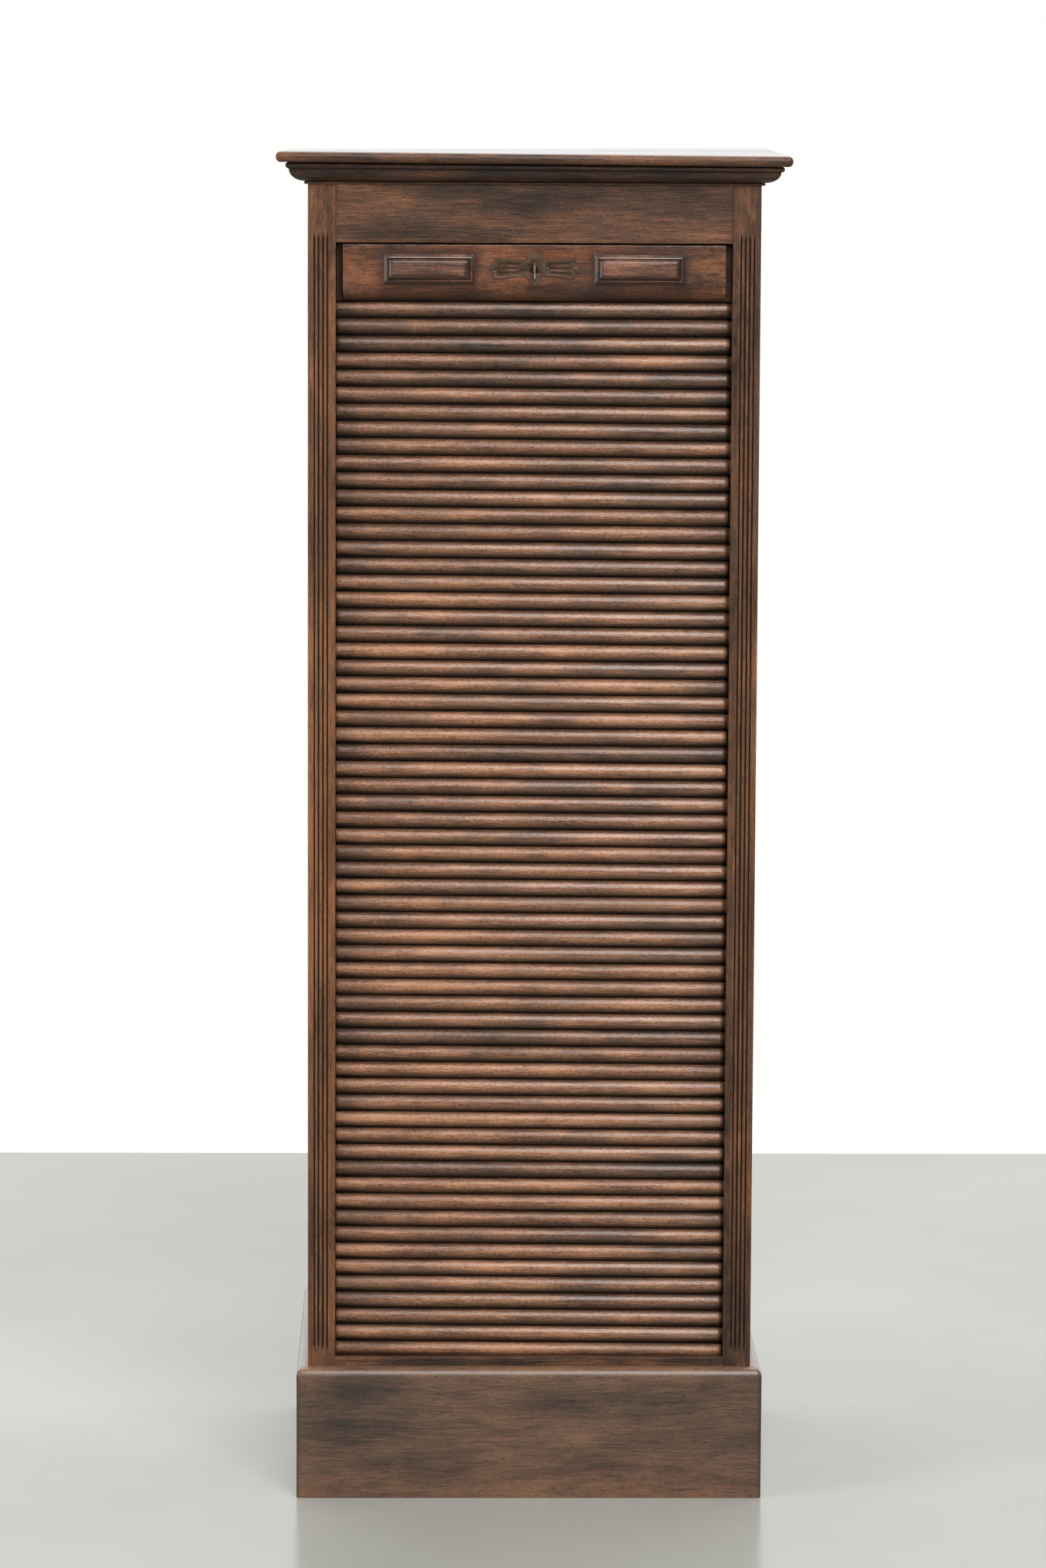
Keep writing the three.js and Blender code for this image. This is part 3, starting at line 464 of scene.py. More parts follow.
# Finishes: what sets each apart
INNER_AXES = {"across": "XYZ", "upright": "ZXY", "deep": "YXZ"}
OAKS = {
    "dark_oak": dict(tones=DARK_TONES, patch=0.5, fleck=0.15, speck=0.5, specular=0.25),
    "polished_oak": dict(tones=DARK_TONES, speck=0.5, lustre=0.36, coat_roughness=0.16),
    "dark_oak_upright": dict(tones=STILE_TONES, patch=0.25, fleck=0.15, speck=0.5, axes="ZXY"),
    "stile_oak": dict(tones=STILE_TONES, patch=0.15, fleck=0.15, speck=0.4, specular=0.25),
    "plinth_oak": dict(tones=PLINTH_TONES, patch=0.1, lustre=0.46, fleck=0.1, speck=0.35, specular=0.35,
                       coat_roughness=0.3),
    "worn_oak": dict(tones=RAIL_TONES, patch=0.5, lustre=0.38, fleck=0.15, coat_roughness=0.12),
    "pad_oak": dict(tones=PAD_TONES, patch=0.5, lustre=0.38, coat_roughness=0.3),
    "slat_oak": dict(tones=SLAT_TONES, places=SLAT_PLACES, patch=0.5, lustre=0.42, bump=0.4, fleck=0.4,
                     coat_roughness=0.26),
} | {
    f"inner_oak_{way}": dict(tones=INNER_TONES, patch=0.15, lustre=0.55, axes=axes)
    for way, axes in INNER_AXES.items()
}
METALS = {
    "aged_brass": dict(dark=(0.076, 0.044, 0.026), light=(0.128, 0.075, 0.043), roughness=0.5, metallic=0.6),
    "dark_iron": dict(dark=(0.040, 0.038, 0.036), light=(0.150, 0.140, 0.130), roughness=0.36),
    "steel": dict(dark=(0.200, 0.190, 0.180), light=(0.620, 0.600, 0.580), roughness=0.26),
}

# Boards and ironwork that need a finish and soft edges only
NUMBERS = range(1, 5)
PLAIN_NODES = {
    "dark_oak_upright": ["side_board_left", "side_board_right"],
    "inner_oak_upright": ["back_panel", "inner_back"],
    "inner_oak_across": ["bottom_board", "inner_top", *(f"shelf_{number}" for number in NUMBERS)],
    "inner_oak_deep": [f"shelf_{number}_cleat_{label}" for number in NUMBERS for label, _ in SIDES],
    "dark_iron": ["lock_case", "strike_screw_left", "strike_screw_right",
                  *(f"escutcheon_pin_{number}" for number in NUMBERS)],
    "steel": ["beak_left", "beak_right"],
    "aged_brass": ["strike_plate"],
}


def limits(name):
    """Lowest and highest value of a node along each axis."""
    return tuple(zip(*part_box(name)))


# Places that others are measured from
(OPENING_HALF, CASE_HALF), (FRONT_Y, _), _ = limits("stile_right")
BACK_Y = limits("side_board_right")[1][1]
BOARD_FRONT, BOARD_BACK = limits("top_board")[1]
CORNICE_LOW, CORNICE_HIGH = limits("cornice_front")[2]
TONGUE_REACH = limits("lead_rail")[0][1]
BACK_LINE = limits("lead_rail")[1][1]
CURTAIN_TOP = limits("lead_rail")[2][0]
FRONT_RUN = CURTAIN_TOP - BEND_HEIGHT
PIN_HEIGHT = sum(limits("escutcheon_pin_1")[2]) / 2
KEY_HEIGHT = next(joint["pos_m"][2] for joint in frame["joints"] if joint["name"] == "key_turn")


# Nodes of the finishes
def add(tree, kind, inputs=None, **settings):
    """A node with its settings, and each input linked to a socket or set to a value."""
    made = tree.nodes.new(kind)
    for name, value in settings.items():
        setattr(made, name, value)
    for name, value in (inputs or {}).items():
        if isinstance(value, bpy.types.NodeSocket):
            tree.links.new(value, made.inputs[name])
        else:
            made.inputs[name].default_value = value
    return made


def calc(tree, operation, first, second=0.0, third=0.0, clamp=False):
    inputs = {0: first, 1: second, 2: third}
    return add(tree, "ShaderNodeMath", inputs, operation=operation, use_clamp=clamp).outputs[0]


def vector_calc(tree, operation, first, second):
    return add(tree, "ShaderNodeVectorMath", {0: first, 1: second}, operation=operation).outputs[0]


def noise_value(tree, vector, scale, detail, roughness):
    """Noise from nothing to one, with so many features to the metre along each axis."""
    scaled = vector_calc(tree, "MULTIPLY", vector, scale)
    inputs = {"Vector": scaled, "Scale": 1.0, "Detail": detail, "Roughness": roughness}
    return add(tree, "ShaderNodeTexNoise", inputs).outputs["Fac"]


def ramp(tree, value, places, tones):
    made = add(tree, "ShaderNodeValToRGB", {"Fac": value})
    elements = made.color_ramp.elements
    while len(elements) < len(places):
        elements.new(1.0)
    for element, place, tone in zip(elements, places, tones):
        element.position = place
        element.color = (*tone, 1.0)
    return made.outputs["Color"]


def step(tree, value, low, high, least=0.0, most=1.0):
    """Least up to low, most from high on, and a smooth rise between them."""
    inputs = {"Value": value, "From Min": low, "From Max": high, "To Min": least, "To Max": most}
    return add(tree, "ShaderNodeMapRange", inputs, interpolation_type="SMOOTHSTEP").outputs["Result"]


def mix(tree, share, first, second):
    """The first colour with a share of the second laid over it; each is a socket or three numbers."""
    sockets = [part if isinstance(part, bpy.types.NodeSocket) else (*part, 1.0) for part in (first, second)]
    inputs = {0: share, 6: sockets[0], 7: sockets[1]}
    return add(tree, "ShaderNodeMix", inputs, data_type="RGBA").outputs[2]


def new_material(name):
    material = bpy.data.materials.new(name)
    material.use_nodes = True
    tree = material.node_tree
    return material, tree, tree.nodes["Principled BSDF"]


def object_place(tree):
    return add(tree, "ShaderNodeTexCoord").outputs["Object"]


def mark_value(tree, name):
    return add(tree, "ShaderNodeAttribute", attribute_name=name).outputs["Fac"]


def coat(tree, shader, colour, roughness, height=None, bump=0.0, relief=0.0):
    """Leads colour, roughness and relief into a material's shader."""
    tree.links.new(colour, shader.inputs["Base Color"])
    tree.links.new(roughness, shader.inputs["Roughness"])
    if height is not None:
        uneven = add(tree, "ShaderNodeBump", {"Strength": bump, "Distance": relief, "Height": height})
        tree.links.new(uneven.outputs["Normal"], shader.inputs["Normal"])


def grain_vector(tree, axes):
    """Coordinates with the grain along the first: kept on the mesh, or taken from the object's own axes."""
    if axes is None:
        return add(tree, "ShaderNodeAttribute", attribute_name="grain").outputs["Vector"]
    parts = add(tree, "ShaderNodeSeparateXYZ", {0: object_place(tree)}).outputs
    turned = add(tree, "ShaderNodeCombineXYZ", {index: parts[axis] for index, axis in enumerate(axes)})
    return vector_calc(tree, "MULTIPLY", turned.outputs[0], PANEL_STRETCH)


def weighed(tree, parts, weights):
    """A half, and each part's distance from a half times its weight."""
    total = 0.5 - sum(weights.values()) / 2
    for name, weight in weights.items():
        total = calc(tree, "MULTIPLY_ADD", parts[name], weight, total)
    return total


def bent_grain(tree, raw):
    """The grain's coordinates, swaying slowly from side to side."""
    sway = calc(tree, "MULTIPLY", noise_value(tree, raw, *SWAY), SWAY_REACH)
    shift = add(tree, "ShaderNodeCombineXYZ", {1: sway}).outputs[0]
    return vector_calc(tree, "ADD", raw, shift)


def leaning_grain(tree, raw):
    """The grain's coordinates sheared, for the flecks that cross it."""
    parts = add(tree, "ShaderNodeSeparateXYZ", {0: raw}).outputs
    across = calc(tree, "MULTIPLY_ADD", parts[0], FLECK_SHEAR, parts[1])
    return add(tree, "ShaderNodeCombineXYZ", {0: parts[0], 1: across, 2: parts[2]}).outputs[0]


def figure_parts(tree, raw):
    vectors = {"raw": raw, "bent": bent_grain(tree, raw), "leaning": leaning_grain(tree, raw)}
    return {
        name: noise_value(tree, vectors[kind], (along, across, across), detail, roughness)
        for name, (kind, along, across, detail, roughness) in FIGURE.items()
    }


def oak(name, tones, places=TONE_PLACES, patch=0.6, lustre=0.40, bump=0.18, fleck=0.3,
        speck=TONE_WEIGHTS["specks"], specular=0.3, coat_roughness=None, axes=None):
    """Stained oak: fibres, bands of figure, dark patches, rubbed places, flecks and open pores."""
    material, tree, shader = new_material(name)
    parts = figure_parts(tree, grain_vector(tree, axes))
    tone = weighed(tree, parts, TONE_WEIGHTS | {"specks": speck})
    colour = ramp(tree, calc(tree, "ADD", tone, mark_value(tree, "tone")), places, tones)
    colour = mix(tree, step(tree, parts["patches"], *PATCH_EDGE, 0.0, patch), colour, PATCH_COLOUR)
    flecks = step(tree, parts["flecks"], *FLECK_EDGE, 0.0, fleck)
    flecks = calc(tree, "MULTIPLY", flecks, step(tree, parts["clouds"], *FLECK_FIELD))
    colour = mix(tree, flecks, colour, FLECK_COLOUR)
    rub = step(tree, parts["rubbing"], *RUB_EDGE)
    wear = calc(tree, "MULTIPLY", mark_value(tree, "wear"), rub, clamp=True)
    colour = mix(tree, wear, colour, WEAR_COLOUR)
    pores = step(tree, parts["pores"], *PORE_EDGE)
    colour = mix(tree, calc(tree, "MULTIPLY", pores, PORE_SHARE), colour, SOOT_AND_SHADE_COLOUR)
    # Soiling and painted shade darken the colour where the mark asks for it
    held = step(tree, parts["clouds"], *DARKENING_EDGE)
    darkening = calc(tree, "MULTIPLY", mark_value(tree, "soot"), held, clamp=True)
    colour = mix(tree, darkening, colour, SOOT_AND_SHADE_COLOUR)
    polish = mark_value(tree, "polish")
    dullness = calc(tree, "MULTIPLY_ADD", polish, -POLISH_GAIN, weighed(tree, parts, GLOSS_WEIGHTS))
    dullness = calc(tree, "ADD", dullness, lustre - 0.5)
    dullness = calc(tree, "MULTIPLY_ADD", darkening, DARKENING_DULLING, dullness, clamp=True)
    height = calc(tree, "MULTIPLY_ADD", pores, -PORE_SHARE, weighed(tree, parts, RELIEF_WEIGHTS))
    coat(tree, shader, colour, dullness, height, bump, OAK_RELIEF)
    shader.inputs["Specular IOR Level"].default_value = specular
    if coat_roughness:
        tree.links.new(polish, shader.inputs["Coat Weight"])
        shader.inputs["Coat Roughness"].default_value = coat_roughness
    return material


def metal(name, dark, light, roughness, metallic=1.0):
    """Bare or browned metal, mottled, with fine scratches."""
    material, tree, shader = new_material(name)
    place = object_place(tree)
    mottle = noise_value(tree, place, *METAL_MOTTLE)
    scratches = noise_value(tree, place, *METAL_SCRATCHES)
    colour = mix(tree, step(tree, mottle, *METAL_EDGE), dark, light)
    base = roughness - METAL_GLOSS_SPREAD / 2
    dullness = calc(tree, "MULTIPLY_ADD", mottle, METAL_GLOSS_SPREAD, base, clamp=True)
    height = calc(tree, "MULTIPLY_ADD", mottle, METAL_MOTTLE_RELIEF, scratches)
    coat(tree, shader, colour, dullness, height, METAL_BUMP, METAL_RELIEF)
    shader.inputs["Metallic"].default_value = metallic
    return material


def canvas_cloth():
    """Plain woven canvas, with its threads across and along the curtain."""
    material, tree, shader = new_material("canvas_cloth")
    place = grain_vector(tree, None)
    inputs = {"Vector": place, "Scale": THREAD_SCALE, "Distortion": THREAD_DISTORTION}
    threads = [
        add(tree, "ShaderNodeTexWave", inputs, wave_type="BANDS", bands_direction=direction).outputs["Fac"]
        for direction in ("X", "Y")
    ]
    weave = calc(tree, "MULTIPLY", *threads)
    soil = noise_value(tree, place, *CANVAS_SOIL)
    colour = mix(tree, weave, CANVAS_SHADOW, CANVAS_THREAD)
    colour = mix(tree, step(tree, soil, *CANVAS_SOIL_EDGE), colour, CANVAS_SOIL_COLOUR)
    dullness = calc(tree, "MULTIPLY_ADD", soil, *CANVAS_ROUGHNESS)
    coat(tree, shader, colour, dullness, weave, CANVAS_BUMP, CANVAS_RELIEF)
    return material


def floor_finish():
    material, tree, shader = new_material("pale_floor")
    mottle = noise_value(tree, object_place(tree), *FLOOR_MOTTLE)
    colour = mix(tree, step(tree, mottle, *FLOOR_EDGE), *FLOOR_TONES)
    coat(tree, shader, colour, calc(tree, "MULTIPLY_ADD", mottle, *FLOOR_ROUGHNESS))
    return material


FINISH = {name: oak(name, **settings) for name, settings in OAKS.items()}
FINISH |= {name: metal(name, **settings) for name, settings in METALS.items()}
FINISH["canvas"] = canvas_cloth()


# Meshes
class Shell:
    """A mesh of closed lofts, whose every corner keeps its grain, tone, wear, darkening by soiling and
    painted shade, and polish.
    """

    marks = ("tone", "wear", "soot", "polish")

    def __init__(self, name):
        self.name = name
        self.build = bmesh.new()
        self.grain = self.build.verts.layers.float_vector.new("grain")
        self.layers = {mark: self.build.verts.layers.float.new(mark) for mark in self.marks}

    def corner(self, spot, note, place):
        vert = self.build.verts.new(place(*spot) if place else spot)
        kept = note(Vector(spot))
        vert[self.grain] = kept["grain"]
        for mark, layer in self.layers.items():
            vert[layer] = kept.get(mark, 0.0)
        return vert

    def loft(self, rings, note, looped=False, place=None):
        """Faces from each ring to the next, and on to the first again if looped, or else over both ends."""
        layers = [[self.corner(spot, note, place) for spot in ring] for ring in rings]
        after = layers[1:] + layers[:1] if looped else layers[1:]
        for near, far in zip(layers, after):
            for index in range(len(near)):
                self.build.faces.new((near[index - 1], near[index], far[index], far[index - 1]))
        if not looped:
            self.build.faces.new(layers[0])
            self.build.faces.new(layers[-1])
        verts = [vert for layer in layers for vert in layer]
        bmesh.ops.remove_doubles(self.build, verts=verts, dist=WELD)

    def mesh(self, crease=CREASE):
        bmesh.ops.dissolve_degenerate(self.build, edges=self.build.edges, dist=WELD)
        bmesh.ops.recalc_face_normals(self.build, faces=self.build.faces)
        mesh = bpy.data.meshes.new(self.name)
        self.build.to_mesh(mesh)
        self.build.free()
        mesh.shade_smooth()
        mesh.set_sharp_from_angle(angle=crease)
        return mesh


def lofted(name, rings, note, crease=CREASE, place=None):
    """The mesh of a single loft."""
    shell = Shell(name)
    shell.loft(rings, note, place=place)
    return shell.mesh(crease)


def link(name, data):
    made = bpy.data.objects.new(name, data)
    bpy.context.scene.collection.objects.link(made)
    return made


def add_piece(name, mesh, finish, body, nodes=()):
    piece = link(name, mesh)
    mesh.materials.append(FINISH[finish])
    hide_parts(*nodes)
    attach(piece, body)
    return piece


def arc(centre, radii, start, end, steps):
    """Points of an ellipse round centre, from one angle to another."""
    points = []
    for index in range(steps + 1):
        angle = start + (end - start) * index / steps
        points.append((centre[0] + radii[0] * math.cos(angle), centre[1] + radii[1] * math.sin(angle)))
    return points


def bend(centre, radius, start, end, steps=ARC_STEPS):
    """Points of a circle round centre, from one number of quarter turns to another."""
    return arc(centre, (radius, radius), start * QUARTER, end * QUARTER, steps)


def between(start, end, pitch):
    """Evenly spaced stations from start to end, no further apart than pitch."""
    count = max(1, math.ceil(abs(end - start) / pitch))
    return [start + (end - start) * index / count for index in range(count + 1)]


def softened(corners, radii):
    """Outline with each corner rounded, and a further point on either side of the round."""
    points = []
    for index, corner in enumerate(corners):
        here = Vector(corner)
        before = Vector(corners[index - 1]) - here
        after = Vector(corners[(index + 1) % len(corners)]) - here
        back, ahead = before.normalized(), after.normalized()
        half = before.angle(after) / 2
        start, end = (here + way * radii[index] / math.tan(half) for way in (back, ahead))
        middle = here + (back + ahead).normalized() * radii[index] / math.sin(half)
        if before.length > 3 * GUARD:
            points.append(start + back * GUARD)
        for place in range(ARC_STEPS + 1):
            turn = start.lerp(end, place / ARC_STEPS) - middle
            points.append(middle + turn.normalized() * radii[index])
        if after.length > 3 * GUARD:
            points.append(end + ahead * GUARD)
    return [tuple(point) for point in points]


def drawn_in(outline, inset):
    """Outline moved inward by inset along its own normals."""
    if not inset:
        return list(outline)
    area = sum(a[0] * b[1] - b[0] * a[1] for a, b in zip(outline, outline[1:] + outline[:1]))
    reach = math.copysign(inset, area)
    moved = []
    for index, point in enumerate(outline):
        before = Vector(outline[index - 1])
        after = Vector(outline[(index + 1) % len(outline)])
        along = (after - before).normalized()
        moved.append((point[0] - along[1] * reach, point[1] + along[0] * reach))
    return moved


def end_stations(start, end, radius, pitch):
    """Pairs of place and inset for a bar from start to end with both ends rounded."""
    turns = [QUARTER * index / ARC_STEPS for index in range(ARC_STEPS + 1)]
    ends = [(radius * (1 - math.sin(turn)), radius * (1 - math.cos(turn))) for turn in turns]
    inner = between(start + radius + GUARD, end - radius - GUARD, pitch)
    return [
        *((start + gap, inset) for gap, inset in reversed(ends)),
        *((place, 0.0) for place in inner),
        *((end - gap, inset) for gap, inset in ends),
    ]


def swayed(point, seed, amount=HAND_SWAY):
    """A hand-planed surface's slight unevenness."""
    return point + noise.noise_vector(point * SWAYS_PER_METRE + Vector((seed, seed, seed))) * amount


def bar_rings(outline, start, end, radius, seed, pitch=STATION_PITCH):
    """Rings of a bar across the front, from its outline seen from the side."""
    return [
        [swayed(Vector((station, *corner)), seed) for corner in drawn_in(outline, inset)]
        for station, inset in end_stations(start, end, radius, pitch)
    ]


def box_rings(box, clearance=0.0):
    (left, right), (front, back), (low, high) = (
        (least - clearance, most + clearance) for least, most in box
    )
    return [[(left, front, z), (right, front, z), (right, back, z), (left, back, z)] for z in (low, high)]


def cutter(rings):
    return lofted("cutter", rings, plain_note)


def through(outline, front, back):
    """Rings of a prism from front to back."""
    return [[(x, y, z) for x, z in outline] for y in (front, back)]


def cut_from(mesh, cutters):
    """The mesh with the cutters' volumes taken out of it."""
    whole = link("whole", mesh)
    tools = [link("tool", cutter_mesh) for cutter_mesh in cutters]
    for tool in tools:
        change = whole.modifiers.new("cut", "BOOLEAN")
        change.operation = "DIFFERENCE"
        change.solver = "EXACT"
        change.object = tool
    graph = bpy.context.evaluated_depsgraph_get()
    result = bpy.data.meshes.new_from_object(whole.evaluated_get(graph))
    for made in (whole, *tools):
        bpy.data.objects.remove(made)
    return result


# Marks on the surfaces
def fading(distance, reach):
    """One at the place itself, falling evenly to nothing at reach."""
    return max(0.0, 1 - distance / reach)


def ebbing(distance, reach):
    """One at the place itself, falling ever more slowly."""
    return math.exp(-distance / reach)


def peaking(distance, reach):
    """One round the place itself, falling like a bell."""
    return math.exp(-((distance / reach) ** 2))


def within(value):
    return max(0.0, min(1.0, value))


def patchy(point, scale, shift):
    """From nothing to one, varying from patch to patch."""
    return 0.5 + 0.5 * noise.noise(point * scale + shift)


def grained(point, axes, shift):
    """Grain coordinates, along the first of the axes."""
    return Vector([point[axis] for axis in axes]) + shift


def grain_shift(seed):
    source = random.Random(seed)
    return Vector([source.uniform(-GRAIN_SHIFT, GRAIN_SHIFT) for _ in range(3)])


def outside(box, point, below=1.0):
    """How far a point lies from a box, across and up the front; the way down from it counts below times."""
    (left, right), _, (low, high) = box
    across = max(left - point.x, point.x - right, 0.0)
    upright = max((low - point.z) * below, point.z - high, 0.0)
    return math.hypot(across, upright)


def plain_note(point):
    return {"grain": Vector(point), "soot": 1.0}


def board_note(box, axes, seed, wear, tone=0.0, reach=BOARD_RUB_REACH):
    """Marks of a plain board: its grain runs along the first axis and its edges are rubbed."""
    shift = grain_shift(seed)

    def note(point):
        gaps = sorted(min(point[axis] - low, high - point[axis]) for axis, (low, high) in enumerate(box))
        rub = patchy(point, RUB_SCALES["board"], shift)
        edge = fading(max(gaps[1], 0.0), reach)
        return {"grain": grained(point, axes, shift), "wear": wear * edge * rub, "tone": tone}

    return note


# Top, cornice and plinth
def board_lift(x, y):
    """How far the top board has lifted off its level place."""
    front_share = (BOARD_BACK - y) / (BOARD_BACK - BOARD_FRONT)
    return TOP_LIFT * front_share - TOP_TWIST * x * (2 * front_share - 1)


def top_ring(box, inset, z):
    (left, right), (front, back), _ = box
    radius = max(TOP_CORNER_RADIUS - inset, CREASE_RADIUS)
    left += TOP_SHORT_LEFT + inset
    right -= TOP_SHORT_RIGHT + inset
    front += inset
    ring = [
        *((left, y) for y in between(back, front + radius, STATION_PITCH)),
        *bend((left + radius, front + radius), radius, 2, 3)[1:-1],
        *((x, front) for x in between(left + radius, right - radius, STATION_PITCH)),
        *bend((right - radius, front + radius), radius, -1, 0)[1:-1],
        *((right, y) for y in between(front + radius, back, STATION_PITCH)),
    ]
    return [swayed(Vector((x, y, z)), SWAY_SEEDS["top_board"]) for x, y in ring]


def top_board():
    """The top, a little in wind: its front edge falls to the right and its back edge to the left."""
    box = limits("top_board")
    low, high = box[2]
    radius = TOP_EDGE_RADIUS
    edge = bend((radius, low + radius), radius, -1, -2, FINE_ARC_STEPS)
    edge += bend((radius, high - radius), radius, 2, 1, FINE_ARC_STEPS)
    plain = board_note(box, (0, 1, 2), SEEDS["top_board"], 1.0, reach=radius)

    def placed(x, y, z):
        return Vector((x, y, z + board_lift(x, y)))

    def note(point):
        # Painted shade: the front edge darkens towards its underside
        under = fading(point.z - low, high - low)
        polish = fading(high - point.z, TOP_POLISH_DEPTH)
        return plain(point) | {"polish": polish, "soot": TOP_UNDER_SHADE * under * under}

    mesh = lofted("top_board", [top_ring(box, inset, z) for inset, z in edge], note, place=placed)
    add_piece("top_board_oak", mesh, "polished_oak", "case", nodes=["top_board"])


def cornice_profile(low, high, projection):
    low_out = LOW_BEAD_PROJECTION - LOW_BEAD_RADIUS
    low_z = low + LOW_BEAD_RADIUS
    top_out = projection - TOP_BEAD_RADIUS
    top_z = high - TOP_BEAD_SET_BACK
    ovolo_top = top_z - TOP_BEAD_RADIUS - CORNICE_FILLET
    ovolo_low = low_z + LOW_BEAD_RADIUS
    ovolo = (top_out - low_out - CORNICE_FILLET, ovolo_top - ovolo_low)
    return [
        (0.0, low),
        *bend((low_out, low_z), LOW_BEAD_RADIUS, -1, 1, FINE_ARC_STEPS),
        *arc((low_out, ovolo_top), ovolo, -QUARTER, 0, FINE_ARC_STEPS),
        *bend((top_out, top_z), TOP_BEAD_RADIUS, -1, 1, FINE_ARC_STEPS),
        (top_out - CORNICE_FILLET, high),
        (0.0, high),
    ]


def plinth_profile(low, high, projection):
    centre = (projection - PLINTH_EDGE_RADIUS, high - PLINTH_EDGE_RADIUS)
    foot = (projection - BOARD_RADIUS, low + BOARD_RADIUS)
    flat = between(low + GUARD, high - PLINTH_EDGE_RADIUS - GUARD, STATION_PITCH)
    return [
        (0.0, low),
        *bend(foot, BOARD_RADIUS, -1, 0),
        *((projection, z) for z in flat),
        *bend(centre, PLINTH_EDGE_RADIUS, 0, 1, FINE_ARC_STEPS),
        (0.0, high),
    ]


def corner_fan(projection, radius):
    """Outer points of a moulding round half of a corner, from square on to the mitre."""
    middle = projection - radius
    fan = [(reach, projection) for reach in between(0.0, middle, STATION_PITCH)]
    for index in range(1, ARC_STEPS + 1):
        angle = QUARTER / 2 * index / ARC_STEPS
        fan.append((middle + radius * math.sin(angle), middle + radius * math.cos(angle)))
    return fan


def under_board(x, y, z):
    """The cornice's upper part follows the top board."""
    return Vector((x, y, z + board_lift(x, y) * (z - CORNICE_LOW) / (CORNICE_HIGH - CORNICE_LOW)))


def moulding(name, profile_of, radius, finish, note_of, place=None):
    """A moulding along the front and both sides, with its corners rounded and mitred."""
    (_, outer), _, (low, high) = limits(f"{name}_front")
    projection = outer - CASE_HALF
    profile = profile_of(low, high, projection)
    fan = corner_fan(projection, radius)

    def corner(lay):
        return [[lay(reach * away / projection, out * away / projection, z) for away, z in profile]
                for reach, out in fan]

    def across(side):
        return corner(lambda reach, out, z: Vector((side * (CASE_HALF + reach), FRONT_Y - out, z)))

    def along(side):
        return corner(lambda reach, out, z: Vector((side * (CASE_HALF + out), FRONT_Y - reach, z)))

    stations = between(-CASE_HALF, CASE_HALF, STATION_PITCH)[1:-1]
    straight = [[Vector((x, FRONT_Y - out, z)) for out, z in profile] for x in stations]
    runs = {"front": across(-1)[::-1] + straight + across(1)}
    for label, side in SIDES:
        stations = between(FRONT_Y, BACK_Y, STATION_PITCH)[1:]
        straight = [[Vector((side * (CASE_HALF + out), y, z)) for out, z in profile] for y in stations]
        runs[label] = along(side)[::-1] + straight
    for (label, rings), seed in zip(runs.items(), SEEDS[name]):
        node = f"{name}_{label}"
        axes = (0, 2, 1) if label == "front" else (1, 2, 0)
        rings = [[swayed(point, seed) for point in ring] for ring in rings]
        mesh = lofted(node, rings, note_of(limits(node), axes, seed), place=place)
        add_piece(f"{node}_oak", mesh, finish, "case", nodes=[node])


def cornice_note(box, axes, seed):
    """The beads are rubbed, and the creases beside them and under the top board are darkened with painted
    shade.
    """
    shift = grain_shift(seed)
    low, high = box[2]
    beads = (low + LOW_BEAD_RADIUS, high - TOP_BEAD_SET_BACK)
    creases = (low + 2 * LOW_BEAD_RADIUS, high - TOP_BEAD_SET_BACK - TOP_BEAD_RADIUS, high)

    def note(point):
        bead = fading(min(abs(point.z - height) for height in beads), TOP_BEAD_RADIUS)
        crease = fading(min(abs(point.z - height) for height in creases), CORNICE_CREASE)
        return {
            "grain": grained(point, axes, shift),
            "wear": CORNICE_WEAR * bead * patchy(point, RUB_SCALES["cornice"], shift),
            "soot": CORNICE_SOOT + CORNICE_CREASE_SHADE * crease,
            "tone": CORNICE_TONE,
            "polish": 1.0 - crease,
        }

    return note


def plinth_note(box, axes, seed):
    """The upper round and the foot are rubbed, and the upper round is painted lighter as a painted highlight;
    painted shade darkens the upright corners and, a little, the right; the front's left is stained dark.
    """
    shift = grain_shift(seed)
    (left, right), (front, _), (low, high) = box
    corners = [Vector((x, front)) for x in (left, right)]
    stain = Vector((left + PLINTH_STAIN_IN, high - PLINTH_STAIN_DOWN))

    def note(point):
        upper = fading(high - point.z, PLINTH_EDGE_RADIUS)
        foot = fading(point.z - low, PLINTH_WORN_FOOT)
        corner = fading(min((point.xy - spot).length for spot in corners), PLINTH_CORNER_RADIUS)
        stained = peaking((Vector((point.x, point.z)) - stain).length, PLINTH_STAIN_REACH)
        rub = patchy(point, RUB_SCALES["plinth"], shift)
        return {
            "grain": grained(point, axes, shift),
            "wear": rub * (PLINTH_UPPER_WEAR * upper + PLINTH_FOOT_WEAR * foot),
            "polish": min(1.0, PLINTH_POLISH * upper),
            "soot": PLINTH_CORNER_SHADE * corner * (1 - upper),
            "tone": PLINTH_TONE + PLINTH_UPPER_HIGHLIGHT * upper - PLINTH_SIDE_SHADE * point.x / right
                    - PLINTH_STAIN_TONE * stained,
        }

    return note


# Frame of the front
def rail_mesh(name, radii, note):
    """A rail between the stiles, its long edges rounded from the lower front one on."""
    (left, right), (front, back), (low, high) = limits(name)
    corners = [(front, low), (back, low), (back, high), (front, high)]
    rings = bar_rings(softened(corners, radii), left, right, CREASE_RADIUS, SWAY_SEEDS[name])
    return lofted(name, rings, note)


